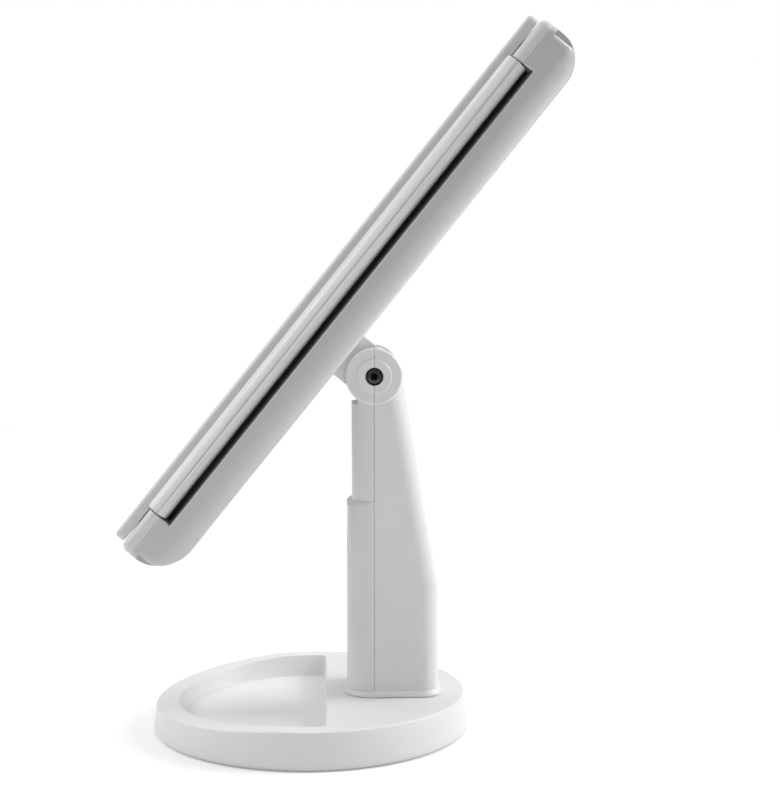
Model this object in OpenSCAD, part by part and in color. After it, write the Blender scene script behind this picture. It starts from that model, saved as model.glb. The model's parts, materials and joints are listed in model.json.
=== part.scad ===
// Trifold vanity mirror on a tilting stem, with a half-moon tray in its base.
// Millimetres. Origin at the centre of the base, on the table. -Y is the front, +Z is up.

/* [Base] */
// Diameter of the base where it meets the table
base_d = 131; // [126:1:150]
// How far the base's side wall leans in over its height
base_draft = 2; // [0:0.1:2.5]
// Height of the base's flat rear top
base_h = 14.9; // [14.4:0.1:20]
// Slope of the front rim, in degrees
rim_slope = 4.6; // [0:0.1:5.5]
// How far in front of the centre the rim starts to slope
rim_slope_start = 13.4; // [5:0.1:30]
// Width of the rim around the tray
rim_w = 7.7; // [6:0.1:12]
// Distance of the tray's straight wall behind the centre
tray_wall_y = 5.9; // [0:0.1:8]
// Height of the tray's floor above the table
tray_floor_z = 6; // [5.6:0.1:7.5]
// Inward lean of the tray's curved wall
tray_draft = 3; // [0:0.1:4]
// Plastic wall of the base
base_wall = 2; // [1.6:0.1:2.2]
// Thickness of the non-slip pad
pad_t = 1.2; // [1:0.1:1.6]
// Thickness of the base plate
plate_t = 2; // [1.5:0.1:2.2]
// Thickness of the steel weight
weight_t = 6; // [3:0.5:7]

/* [Stem] */
// Width of the stem from side to side
stem_w = 32; // [32:0.5:40]
// Front face of the upper stem, behind the centre
stem_front_y = 17; // [16.5:0.1:18]
// How far the battery door stands in front of the upper stem
door_step = 2.1; // [1:0.1:2.4]
// Rear face of the stem's foot, behind the centre
stem_rear_y = 52.3; // [52:0.1:56]
// Height at which the rear face starts to lean forward
knee_z = 60; // [50:0.5:75]
// Lean of the upper rear face, in degrees
rear_lean = 10; // [6:0.1:10.2]
// Plan radius of the stem's front edges
stem_front_r = 10; // [6:0.5:11]
// Plan radius of the stem's rear edges
stem_rear_r = 7; // [4:0.5:9]
// Plastic wall of the stem
stem_wall = 1.6; // [1.2:0.1:1.6]
// Height of the battery door's top edge
door_top_z = 95.4; // [94.5:0.1:102]
// Width of the parting gap between the shells
seam = 0.12; // [0.1:0.01:0.4]
// Gap along the battery door's top and bottom edges
door_gap = 0.12; // [0.1:0.01:0.3]
// Height of the collar at the stem's foot
collar_h = 2.5; // [2:0.1:5]
// How far the collar stands out around the stem
collar_lip = 1.3; // [0.6:0.1:2]

/* [Batteries] */
// Diameter of a cell
cell_d = 14.2; // [13.5:0.1:14.3]
// Length of a cell with its button
cell_h = 50.5; // [45:0.5:50.5]
// Gap between neighbouring cells
cell_gap = 0.2; // [0.1:0.05:0.3]

/* [Pivot] */
// Pivot axis behind the centre of the base
pivot_y = 25.8; // [25.3:0.1:26.5]
// Height of the pivot axis
pivot_z = 146.3; // [143:0.1:160]
// Radius of the ear discs
ear_r = 11.5; // [11.3:0.1:12.5]
// Thickness of an ear
ear_t = 5.4; // [4.8:0.1:7]
// Radius of the raised ring on an ear
ring_r = 7.1; // [5.5:0.1:9]
// Height of the raised ring
ring_h = 0.8; // [0.3:0.1:1.2]
// Radius of the neck's barrel
barrel_r = 11; // [10.5:0.1:11.3]
// Length of the neck's barrel
barrel_w = 22.8; // [20:0.1:23]
// Thickness of a friction washer
washer_t = 0.5; // [0.3:0.1:1]
// Radius of the pivot screw's shank
screw_r = 2; // [1.5:0.1:2.2]
// Radius of the pivot screw's head
screw_head_r = 3.5; // [3:0.1:3.8]
// Wall of the sleeve in the barrel
sleeve_wall = 1; // [0.6:0.1:1.4]
// Radial running clearance of every turning fit
run = 0.05; // [0.02:0.01:0.09]

/* [Head] */
// Tilt of the head back from upright, in degrees
head_tilt = 38.8; // [0:0.1:60]
// Width of the head
head_w = 175; // [170:1:200]
// Length of the head
head_l = 239.8; // [236:0.1:280]
// Distance from the pivot axis up to the middle of the head
head_up = 18.05; // [15:0.05:30]
// Distance from the pivot axis forward to the back of the head
head_back = 16.2; // [15.8:0.1:24]
// Depth of the rear housing
housing_d = 16.55; // [16:0.05:22]
// Depth of the front frame
frame_d = 4.65; // [4.5:0.05:6]
// Radius of the head's corners seen from the front
corner_r = 3.5; // [3:0.5:9]
// Radius of the housing's top back edge
back_r = 11.4; // [8:0.1:13]
// Radius of the housing's bottom back edge
bottom_r = 14.2; // [9:0.1:16]
// Radius of the housing's side back edges
side_r = 9.5; // [6:0.1:13]
// Plastic wall of the housing
head_wall = 1.8; // [1.4:0.1:2.2]
// Length of the cutouts for the hinge rolls
cutout_l = 205.6; // [190:0.1:208]
// Depth of the step at the head's ends, beside the bosses
end_step = 2.1; // [1:0.05:3]
// Width of the step at the head's ends
end_step_w = 3; // [3:0.5:20]
// Height of the raised plate around the neck
neck_plate_l = 45; // [44:1:56]
// Width of the raised plate around the neck
neck_plate_w = 46; // [44:1:60]
// How far the plate stands out from the back
neck_plate_proud = 0.55; // [0.3:0.05:1]
// Height of the neck where it leaves the head
neck_h = 19.6; // [16:0.1:20.5]

/* [Mirrors] */
// Thickness of the mirror glass
glass_t = 2; // [1.6:0.1:2]
// Thickness of the mounting tape
tape_t = 0.6; // [0.4:0.1:0.6]
// Width of a light window beside the centre mirror
window_w = 10; // [8:0.5:12]
// Border of the front frame above the centre mirror
top_border = 6.8; // [5:0.1:9]
// Border of the front frame below the centre mirror
bottom_border = 17.6; // [16:0.1:24]
// Diameter of the power button
button_d = 8.6; // [7:0.1:9.5]
// Travel of the power button
button_travel = 0.6; // [0.4:0.1:0.8]
// Light-emitting chips in each board
led_count = 14; // [8:1:18]

/* [Wings] */
// Thickness of a wing panel
wing_t = 4.1; // [4:0.1:6]
// Length of a wing panel
wing_l = 237.5; // [225:0.5:239]
// Gap between a shut wing and the front frame
wing_gap = 0.3; // [0.25:0.05:0.4]
// Radius of the hinge roll
roll_r = 4; // [3.8:0.05:4.05]
// Distance from the hinge axis in to the head's side
axis_in = 4.1; // [4.1:0.1:4.4]
// Distance from the hinge axis back to the front frame's face
axis_back = 2.7; // [2.6:0.1:2.9]
// Radius of a hinge pin
pin_r = 1.5; // [1:0.1:1.5]
// Wall of a hinge bush
bush_wall = 1; // [0.6:0.1:1.2]
// Length of a hinge bush
bush_l = 12; // [6:0.5:20]
// Border of plastic around a wing mirror
wing_border = 3; // [2:0.1:6]

/* [Hidden] */
$fn = 72;
hull_fn = 32;
eps = 0.02;
far = 400;
gap = 0.3;

abs_white = [0.93, 0.93, 0.92];
abs_grey = [0.80, 0.80, 0.80];
steel = [0.62, 0.63, 0.65];
black = [0.08, 0.08, 0.08];
mirror_silver = [0.78, 0.83, 0.86];
board_green = [0.10, 0.35, 0.20];
copper = [0.80, 0.50, 0.25];
brass = [0.80, 0.66, 0.33];

// Base
base_r = base_d / 2;
base_lift = 0.5;
tray_r = base_r - base_draft - rim_w;
plate_z = pad_t + plate_t;
post_r = 3.5;
post_ring = base_r - 15;
base_posts = [for (s = [-1, 1], a = [20.7, 49.4]) [s * post_ring * cos(a), post_ring * sin(a)]];
screw_bite = 7;
screw_room = 8;
thread_r = 1.1;
small_shank_r = 1.4;
small_head_r = 2.6;
small_head_h = 1.6;

// Stem
half_stem = stem_w / 2;
stem_foot_z = base_h + collar_h;
stem_floor_t = 2.5;
boss_h = 10.3;
holder_z = stem_foot_z + boss_h;
holder_t = 1.5;
spring_h = 2;
contact_t = 0.5;
cell_z = holder_z + holder_t + contact_t + spring_h;
cell_top_z = cell_z + cell_h;
holder_top_z = cell_top_z + contact_t;
cell_pitch = cell_d + cell_gap;
cell_mid_y = stem_rear_y - 20.5;
door_front_y = stem_front_y - door_step;
door_clear = 0.3;
tongue_y = stem_front_y + 2.1;
tongue_t = 2;
shell_screw_z = door_top_z - 4;
stem_screw_x = 9;
stem_screw_ys = [cell_mid_y - 7, cell_mid_y + 12];
wire_r = 0.8;

// Pivot
saddle_r = barrel_r + 0.6;
washer_r = barrel_r - 3;
ear_in = barrel_w / 2 + gap + washer_t;
ear_out = ear_in + ear_t;
sleeve_r = screw_r + run + sleeve_wall;
screw_head_h = 4;
head_seat_x = ear_in + 1.7;
nut_r = 4;
nut_h = 3.2;
rear_cut = 5.5;

// Head, in its own frame: pivot axis at the origin, z up the head, y to the rear
back_y = -head_back;
seam_y = back_y - housing_d;
front_y = seam_y - frame_d;
head_top = head_up + head_l / 2;
head_bottom = head_up - head_l / 2;
half_head = head_w / 2;
axis_x = half_head - axis_in;
axis_y = front_y + axis_back;
roll_back_gap = 1.65;
cutout_floor_y = axis_y + roll_r + roll_back_gap;
strip_t = 0.5;
cutout_x = axis_x - roll_r - 0.8;
back_wall = 2.2;
recess_wall = 2;
recess_floor_y = seam_y - recess_wall;
recess_x = cutout_x - 3.8;
recess_top = head_top - top_border;
recess_bottom = head_bottom + bottom_border;
tape_w = 5;
mirror_half_w = recess_x - window_w - 0.4;
pane_clear = 0.2;
slot_inset = 10;
slot_w = window_w - 4;
window_x = recess_x - pane_clear - window_w / 2;
board_gap = 1.2;
board_t = 1;
chip_t = 0.8;
post_x = 50;
post_zs = [head_bottom + 25, head_up, head_top - 23];
head_post_r = 3.4;
button_z = (head_bottom + recess_bottom) / 2;
button_flange = 1.2;
border_wall = 2;
well_r = 2;
plunger_r = 1.6;
switch_size = 6;
switch_h = 3.6;
driver_y = seam_y + 3.6;
driver_size = [60, 28];
driver_z = button_z + 10.4;
flange_w = 38;
flange_l = 36;
flange_t = 2.5;
neck_bolt = [14, 13];
boss_l = (head_l - cutout_l) / 2;
pin_in = 12;
pin_recess = 1.2;
end_clear = 0.6;

// Wings, around the hinge axis: x out of the head, y to the rear
roll_l = cutout_l - 2 * end_clear;
panel_edge = axis_in + gap;
panel_w = axis_x - panel_edge - gap;
panel_back = -(axis_back + wing_gap);
panel_front = panel_back - wing_t;
edge_round = 1.4;
glass_depth = glass_t + tape_t + 0.1;
line_gap = 0.12;
divider = 4;

// ---------- helpers ----------

// Plan outline with one radius at its two front corners and another at the rear ones
module soft_rect(half_w, y0, y1, r0, r1) {
    translate([-half_w, y0 + r0]) square([2 * half_w, y1 - y0 - r0 - r1]);
    translate([-half_w + r0, y0]) square([2 * (half_w - r0), r0 + eps]);
    translate([-half_w + r1, y1 - r1 - eps]) square([2 * (half_w - r1), r1 + eps]);
    for (s = [-1, 1]) {
        translate([s * (half_w - r0), y0 + r0]) circle(r0);
        translate([s * (half_w - r1), y1 - r1]) circle(r1);
    }
}

// Rounded plate standing in the head's front plane, from depth y0 to y1
module head_plate(half_w, z0, z1, r, y0, y1) {
    translate([0, y1, 0]) rotate([90, 0, 0])
        linear_extrude(y1 - y0) soft_rect(half_w, z0, z1, r, r);
}

// Cylinder from point p to point q
module rod(p, q, r) {
    d = q - p;
    translate(p)
        rotate([0, acos(d[2] / norm(d)), atan2(d[1], d[0])])
            cylinder(r = r, h = norm(d));
}

// Cylinder along +Y
module y_cyl(x, y0, y1, z, r) {
    translate([x, y1, z]) rotate([90, 0, 0]) cylinder(r = r, h = y1 - y0);
}

// Cylinder along +X
module x_cyl(x0, x1, r) {
    translate([x0, 0, 0]) rotate([0, 90, 0]) cylinder(r = r, h = x1 - x0);
}

module at_pivot() {
    translate([0, pivot_y, pivot_z]) children();
}

module at_head() {
    at_pivot() rotate([-head_tilt, 0, 0]) children();
}

// The right hinge axis for side 1 and its mirror image for side -1
module at_hinge(side) {
    at_head() mirror([side < 0 ? 1 : 0, 0, 0]) translate([axis_x, axis_y, head_up]) children();
}

// ---------- base ----------

// Round, drafted base body with its sloping front rim, taken in by a wall
module base_form(inset, z0) {
    difference() {
        rotate_extrude() polygon([
            [0, z0], [base_r - inset, z0], [base_r - base_draft - inset, base_h - inset],
            [0, base_h - inset]]);
        translate([0, -rim_slope_start, base_h - inset]) rotate([rim_slope, 0, 0])
            translate([-far / 2, -far, 0]) cube([far, far, far]);
    }
}

// Half-moon space of the tray, grown by a wall
module tray_form(grow) {
    intersection() {
        rotate_extrude() polygon([
            [0, tray_floor_z - grow], [tray_r - tray_draft + grow, tray_floor_z - grow],
            [tray_r + grow, base_h + grow], [tray_r + grow, base_h + 5], [0, base_h + 5]]);
        translate([-far / 2, tray_wall_y + grow - far, 0]) cube([far, far, far]);
    }
}

module base_tray() color(abs_white) {
    difference() {
        union() {
            difference() {
                base_form(0, base_lift);
                difference() {
                    base_form(base_wall, base_lift - eps);
                    tray_form(base_wall);
                }
            }
            for (p = base_posts) translate([p[0], p[1], plate_z])
                cylinder(r = post_r, h = base_h - base_wall / 2 - plate_z);
        }
        tray_form(0);
        for (p = base_posts) translate([p[0], p[1], plate_z - eps]) cylinder(r = thread_r, h = screw_room);
        for (s = [-1, 1], y = stem_screw_ys) translate([s * stem_screw_x, y, base_h - base_wall - 1])
            cylinder(r = small_shank_r + 0.2, h = base_wall + 2);
    }
}

module base_plate() color(abs_grey) difference() {
    translate([0, 0, pad_t]) cylinder(r = base_r - base_draft - base_wall - gap, h = plate_t);
    for (p = base_posts) translate([p[0], p[1], 0]) {
        cylinder(r = small_shank_r + 0.1, h = far);
        cylinder(r = small_head_r + 0.2, h = pad_t + plate_t / 2);
    }
}

module base_weight() color(steel) difference() {
    intersection() {
        translate([0, 0, plate_z]) cylinder(r = base_r - base_draft - base_wall - 5, h = weight_t);
        translate([-far / 2, tray_wall_y + base_wall + gap, 0]) cube([far, far, far]);
    }
    for (p = base_posts) translate([p[0], p[1], 0]) cylinder(r = post_r + gap, h = far);
}

module base_pad() color(black) cylinder(r = base_r - base_draft - base_wall - 1.5, h = pad_t);

module base_screws() color(steel) for (p = base_posts) translate([p[0], p[1], pad_t]) {
    cylinder(r = small_head_r, h = plate_t / 2);
    cylinder(r = thread_r, h = plate_t + screw_bite);
}

module stem_screws() color(steel) for (s = [-1, 1], y = stem_screw_ys) translate([s * stem_screw_x, y, 0]) {
    translate([0, 0, base_h - base_wall - small_head_h]) cylinder(r = small_head_r, h = small_head_h);
    translate([0, 0, base_h - base_wall - eps]) cylinder(r = thread_r, h = base_wall + collar_h + stem_floor_t + screw_bite - 1.5);
}

// ---------- stem ----------

// Outer body of the stem from z0 to z1, taken in by a wall
module stem_form(y_front, inset, z0, z1) {
    w = half_stem - inset;
    f = y_front + inset;
    b = stem_rear_y - inset;
    rf = stem_front_r - inset;
    rb = stem_rear_r - inset;
    if (z1 < knee_z - 2) translate([0, 0, z0]) linear_extrude(z1 - z0) soft_rect(w, f, b, rf, rb);
    else intersection() {
        translate([0, 0, z0]) linear_extrude(z1 - z0) soft_rect(w, f, b, rf, rb);
        translate([0, b, knee_z]) rotate([rear_lean, 0, 0]) translate([0, -b, -far / 2])
            linear_extrude(far) soft_rect(w, f - 80, b, rf, rb);
    }
}

// Ear discs on both sides, with the raised ring, as plain solids
module ear_solids() {
    at_pivot() for (s = [0, 1]) mirror([s, 0, 0]) {
        x_cyl(ear_in, ear_out - 0.8, ear_r);
        translate([ear_out - 0.8, 0, 0]) rotate([0, 90, 0])
            cylinder(r1 = ear_r, r2 = ear_r - 0.7, h = 0.8);
        x_cyl(ear_in, ear_out + ring_h - 0.4, ring_r);
        translate([ear_out + ring_h - 0.4, 0, 0]) rotate([0, 90, 0])
            cylinder(r1 = ring_r, r2 = ring_r - 0.4, h = 0.4);
    }
}

// Bores through both ears: screw, head seat on the right, nut pocket on the left
module ear_bores() {
    at_pivot() {
        x_cyl(-far / 2, far / 2, screw_r + 0.1);
        x_cyl(head_seat_x, far / 2, screw_head_r + 0.15);
        translate([-head_seat_x, 0, 0]) rotate([0, -90, 0])
            cylinder(r = nut_r + 0.1, h = far / 2, $fn = 6);
    }
}

// Room for the neck's barrel and arm between the ears
module neck_room() {
    at_pivot() {
        x_cyl(-ear_in, ear_in, saddle_r);
        translate([-ear_in, -far, -saddle_r]) cube([2 * ear_in, far, far]);
        translate([-ear_in, 0, -rear_cut]) cube([2 * ear_in, far, far]);
    }
}

// The whole stem with both ears, solid but for the room inside
module stem_body() {
    roof_z = pivot_z - saddle_r - stem_wall;
    difference() {
        union() {
            stem_form(stem_front_y, 0, stem_foot_z, pivot_z);
            ear_solids();
        }
        stem_form(stem_front_y, stem_wall, stem_foot_z - eps, roof_z);
        neck_room();
        ear_bores();
    }
}

module stem_collar() color(abs_white) difference() {
    union() {
        translate([0, 0, base_h]) linear_extrude(collar_h - 0.8)
            soft_rect(half_stem + collar_lip, door_front_y - collar_lip, stem_rear_y + collar_lip,
                stem_front_r + collar_lip, stem_rear_r + collar_lip);
        translate([0, 0, base_h]) linear_extrude(collar_h)
            soft_rect(half_stem + collar_lip - 0.6, door_front_y - collar_lip + 0.6,
                stem_rear_y + collar_lip - 0.6, stem_front_r + collar_lip, stem_rear_r + collar_lip);
    }
    for (s = [-1, 1], y = stem_screw_ys) translate([s * stem_screw_x, y, 0])
        cylinder(r = small_shank_r, h = far);
}

module stem_rear_shell() color(abs_white) difference() {
    union() {
        difference() {
            stem_body();
            translate([-far / 2, pivot_y + seam / 2 - far, 0]) cube([far, far, far]);
        }
        // floor that carries the battery holder
        intersection() {
            stem_form(door_front_y, stem_wall + door_clear, stem_foot_z, stem_foot_z + stem_floor_t);
            translate([-far / 2, stem_front_y, 0]) cube([far, far, far]);
        }
        stem_form_rear_joint(stem_floor_t);
        for (s = [-1, 1], y = stem_screw_ys) translate([s * stem_screw_x, y, stem_foot_z])
            cylinder(r = 3.2, h = boss_h);
        // posts that the front shell is screwed to
        intersection() {
            for (s = [-1, 1]) y_cyl(s * 7, tongue_y + tongue_t, stem_rear_y, shell_screw_z, 3);
            stem_form(stem_front_y, stem_wall / 2, shell_screw_z - 4, shell_screw_z + 4);
        }
    }
    for (s = [-1, 1], y = stem_screw_ys) translate([s * stem_screw_x, y, 0])
        cylinder(r = thread_r, h = stem_foot_z + boss_h - 1);
    for (s = [-1, 1]) y_cyl(s * 7, 0, tongue_y + tongue_t + 8, shell_screw_z, thread_r);
}

// Rear part of the floor, joined to the wall
module stem_form_rear_joint(t) {
    intersection() {
        stem_form(door_front_y, stem_wall / 2, stem_foot_z, stem_foot_z + t);
        translate([-far / 2, pivot_y + seam / 2, 0]) cube([far, far, far]);
    }
}

module stem_front_shell() color(abs_white) difference() {
    union() {
        difference() {
            stem_body();
            translate([-far / 2, pivot_y - seam / 2, 0]) cube([far, far, far]);
            translate([-far / 2, -far / 2, 0]) cube([far, far, door_top_z + door_gap]);
        }
        // shelf over the battery room, and the tongue behind the door's top edge
        intersection() {
            stem_form(stem_front_y, stem_wall / 2, door_top_z + door_gap, door_top_z + door_gap + stem_wall);
            translate([-far / 2, 0, 0]) cube([far, pivot_y - seam / 2, far]);
        }
        translate([-12, tongue_y, shell_screw_z - 3.5])
            cube([24, tongue_t, door_top_z + door_gap + stem_wall - shell_screw_z + 3]);
    }
    for (s = [-1, 1]) y_cyl(s * 7, 0, pivot_y, shell_screw_z, small_shank_r);
}

module battery_door() color(abs_white) difference() {
    union() {
        stem_form(door_front_y, 0, stem_foot_z + door_gap, door_top_z - door_step);
        // sloping top edge
        intersection() {
            stem_form(door_front_y, 0, door_top_z - door_step - eps, door_top_z);
            translate([-far / 2, door_front_y, door_top_z - door_step]) rotate([-45, 0, 0])
                translate([0, 0, -far / 2]) cube([far, far, far]);
        }
    }
    stem_form(door_front_y, stem_wall - 0.1, stem_foot_z - 1, door_top_z + 1);
    translate([-far / 2, pivot_y - seam / 2, 0]) cube([far, far, far]);
    // thumb grooves
    for (k = [0:3]) translate([-8, door_front_y - 0.5, door_top_z - 14 - 3 * k]) cube([16, 1, 1.2]);
}

module battery_holder() color(black) difference() {
    union() {
        for (z = [holder_z, holder_top_z]) translate([0, 0, z]) linear_extrude(holder_t)
            soft_rect(cell_pitch - 0.2, cell_mid_y - cell_pitch + 0.3, cell_mid_y + cell_pitch - 0.3,
                stem_front_r - stem_wall - 0.2, 5);
        translate([0, cell_mid_y, holder_z]) cylinder(r = 2.7, h = holder_top_z + holder_t - holder_z);
    }
    for (s = [-1, 1]) translate([s * 2, cell_mid_y, holder_top_z + holder_t / 2]) cylinder(r = wire_r, h = 5);
}

// Places of the four cells
module at_cells() {
    for (i = [-1, 1], j = [-1, 1])
        translate([i * cell_pitch / 2, cell_mid_y + j * cell_pitch / 2, 0]) children();
}

module battery_cells() at_cells() {
    color(abs_grey) translate([0, 0, cell_z]) cylinder(r = cell_d / 2, h = cell_h - 1);
    color(steel) translate([0, 0, cell_top_z - 1 - eps]) cylinder(r = 2.7, h = 1 + eps);
}

module battery_contacts() color(steel) for (z = [holder_z + holder_t, cell_top_z])
    for (i = [-1, 1]) translate([i * cell_pitch / 2 - 4 + i * 0.6, cell_mid_y - cell_pitch / 2 - 4, z])
        cube([8, cell_pitch + 8, contact_t]);

module contact_springs() color(steel) at_cells()
    translate([0, 0, cell_z - spring_h]) difference() {
        cylinder(r1 = 3.4, r2 = 2.2, h = spring_h);
        translate([0, 0, -eps]) cylinder(r1 = 2.6, r2 = 1.4, h = spring_h + 2 * eps);
    }

module shell_screws() color(steel) for (s = [-1, 1]) {
    y_cyl(s * 7, tongue_y - small_head_h, tongue_y, shell_screw_z, small_head_r);
    y_cyl(s * 7, tongue_y - eps, tongue_y + tongue_t + 7, shell_screw_z, thread_r);
}

module stem_wires() color(black) for (s = [-1, 1])
    translate([s * 2, cell_mid_y, holder_top_z + holder_t / 2])
        cylinder(r = wire_r, h = pivot_z - saddle_r - stem_wall - holder_top_z - holder_t / 2);

// ---------- pivot ----------

module pivot_screw() color(black) at_pivot() difference() {
    union() {
        x_cyl(head_seat_x, head_seat_x + screw_head_h, screw_head_r);
        x_cyl(-head_seat_x - nut_h, head_seat_x + eps, screw_r);
    }
    translate([head_seat_x + 1.6, 0, 0]) rotate([0, 90, 0]) cylinder(r = 1.75, h = 5, $fn = 6);
}

module pivot_nut() color(steel) at_pivot() translate([-head_seat_x, 0, 0]) rotate([0, -90, 0])
    difference() {
        cylinder(r = nut_r, h = nut_h, $fn = 6);
        translate([0, 0, -eps]) cylinder(r = screw_r, h = nut_h + 2 * eps);
    }

module pivot_washers() color(steel) at_pivot() for (s = [0, 1]) mirror([s, 0, 0]) difference() {
    x_cyl(ear_in - washer_t, ear_in, washer_r);
    x_cyl(0, ear_out, screw_r + 0.1);
}

module pivot_sleeve() color(brass) at_pivot() difference() {
    x_cyl(-barrel_w / 2, barrel_w / 2, sleeve_r);
    x_cyl(-barrel_w, barrel_w, screw_r + run);
}

module neck_bracket() color(abs_white) at_head() difference() {
    union() {
        x_cyl(-barrel_w / 2, barrel_w / 2, barrel_r);
        translate([-barrel_w / 2, back_y - back_wall - eps, -neck_h / 2])
            cube([barrel_w, head_back + back_wall + eps, neck_h]);
        head_plate(flange_w / 2, -flange_l / 2, flange_l / 2, 4,
            back_y - back_wall - flange_t, back_y - back_wall - eps);
    }
    x_cyl(-far, far, sleeve_r);
    // wire channel
    y_cyl(0, -far, 0, (barrel_r + sleeve_r) / 2 - 0.4, 1.8);
    neck_bolts(-far, far, small_shank_r + 0.1);
}

module neck_bolts(y0, y1, r) {
    for (i = [-1, 1], j = [-1, 1]) y_cyl(i * neck_bolt[0], y0, y1, j * neck_bolt[1], r);
}

module neck_plate() color(abs_white) at_head() difference() {
    union() {
        head_plate(neck_plate_w / 2, 2 - neck_plate_l / 2, 2 + neck_plate_l / 2, 6,
            back_y - 0.6, back_y + neck_plate_proud - 0.3);
        head_plate(neck_plate_w / 2 - 0.3, 2.3 - neck_plate_l / 2, 1.7 + neck_plate_l / 2, 5.7,
            back_y, back_y + neck_plate_proud);
    }
    neck_window();
}

// Opening that the neck passes through
module neck_window() {
    translate([-barrel_w / 2 - 0.1, -far, -neck_h / 2 - 0.1])
        cube([barrel_w + 0.2, far, neck_h + 0.2]);
}

module neck_screws() color(steel) at_head() {
    neck_bolts(back_y - back_wall - flange_t - small_head_h, back_y - back_wall - flange_t, small_head_r);
    neck_bolts(back_y - back_wall - flange_t - eps, back_y - 0.8, thread_r);
}

// ---------- head ----------

// Pillow-backed outer body of the housing, taken in by a wall: three prisms that cross
module housing_form(inset, back_inset) {
    w = half_head - inset;
    z0 = head_bottom + inset;
    z1 = head_top - inset;
    y1 = back_y - back_inset;
    rt = back_r - inset;
    rb = bottom_r - inset;
    rs = side_r - inset;
    rc = corner_r - inset;
    intersection() {
        // seen from the side
        translate([-w, 0, 0]) rotate([90, 0, 90]) linear_extrude(2 * w) union() {
            translate([seam_y, z0]) square([y1 - rb - seam_y, z1 - z0]);
            translate([seam_y, z0 + rb]) square([y1 - seam_y, z1 - z0 - rb - rt]);
            translate([y1 - rb, z0 + rb]) circle(rb);
            translate([y1 - rt, z1 - rt]) circle(rt);
            translate([y1 - rb - eps, z1 - rt]) square([rb - rt + 2 * eps, rt]);
        }
        // seen from above
        translate([0, 0, z0 - 1]) linear_extrude(z1 - z0 + 2) union() {
            translate([-w, seam_y - 1]) square([2 * w, y1 - rs - seam_y + 1]);
            translate([rs - w, seam_y]) square([2 * (w - rs), y1 - seam_y]);
            for (s = [-1, 1]) translate([s * (w - rs), y1 - rs]) circle(rs);
        }
        // seen from the front
        head_plate(w, z0, z1, rc, seam_y, y1 + 1);
    }
}

// Room that the hinge rolls turn in, grown by a wall
module roll_room(grow, y_back) {
    for (s = [-1, 1]) translate([s > 0 ? cutout_x - grow : -far - cutout_x + grow,
            front_y - 1, head_up - cutout_l / 2 - grow])
        cube([far, y_back + grow - front_y + 1, cutout_l + 2 * grow]);
}

// Steps cut into the head's ends beside the bosses, with a rounded side edge
module end_steps() {
    r = 2.4;
    for (sx = [0, 1], end = [0, 1]) mirror([sx, 0, 0])
        translate([half_head, 0, end == 0 ? head_top - end_step : head_bottom + end_step])
            mirror([0, 0, end]) translate([0, far + axis_y + 4.1, 0]) rotate([90, 0, 0])
                linear_extrude(far) difference() {
                    translate([-end_step_w, -r]) square([end_step_w + 5, r + 20]);
                    translate([-end_step_w - 1, -r - 1]) square([end_step_w + 1 - r, r + 1]);
                    translate([-r, -r]) circle(r);
                }
}

module rear_housing() color(abs_white) at_head() difference() {
    union() {
        difference() {
            housing_form(0, 0);
            difference() {
                housing_form(head_wall, back_wall);
                roll_room(head_wall, cutout_floor_y + strip_t);
                // thicker ends behind the steps
                for (z = [head_bottom - 10, head_top - end_step - head_wall])
                    translate([-half_head, seam_y - 1, z]) cube([head_w, far, 10 + end_step + head_wall]);
            }
        }
        for (s = [-1, 1], z = post_zs) y_cyl(s * post_x, seam_y, back_y - back_wall / 2, z, head_post_r);
    }
    roll_room(0, cutout_floor_y + strip_t);
    end_steps();
    boss_blocks(0.1);
    for (s = [-1, 1], z = post_zs) y_cyl(s * post_x, seam_y - 1, seam_y + 9, z, thread_r);
    neck_window();
    neck_bolts(back_y - back_wall - 1, far, thread_r);
    head_plate(neck_plate_w / 2 + 0.05, 1.95 - neck_plate_l / 2, 2.05 + neck_plate_l / 2, 6.05,
        back_y - 0.6, back_y + 5);
}

// Blocks of the front frame that hold the hinge pins, inside the housing's corners
module boss_blocks(grow) {
    for (s = [-1, 1], end = [-1, 1])
        translate([s * (axis_x - 1.1) - 3.6 - grow,
            seam_y - eps - grow, head_up + end * (head_l - boss_l) / 2 - boss_l / 2 + head_wall + 1 - grow])
            cube([7.2 + 2 * grow, 1.6 + grow, boss_l - 2 * head_wall - 2 - 2 + 2 * grow]);
}

module gap_strips() color(black) at_head() for (s = [0, 1]) mirror([s, 0, 0]) {
    translate([cutout_x + 0.1, cutout_floor_y, head_up - cutout_l / 2])
        cube([half_head - cutout_x - 0.3, strip_t, cutout_l]);
    translate([cutout_x, seam_y, head_up - cutout_l / 2])
        cube([0.4, cutout_floor_y - seam_y, cutout_l]);
}

// Outer body of the front frame, with its rounded front edge
module frame_form() {
    hull() for (s = [-1, 1], z = [head_bottom + corner_r, head_top - corner_r])
        translate([s * (half_head - corner_r), seam_y, z]) rotate([90, 0, 0])
            rotate_extrude($fn = hull_fn) polygon(concat([[0, 0], [corner_r, 0]],
                [for (a = [0:18:90]) [corner_r - axis_back * (1 - cos(a)), frame_d - axis_back * (1 - sin(a))]],
                [[0, frame_d]]));
}

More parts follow.
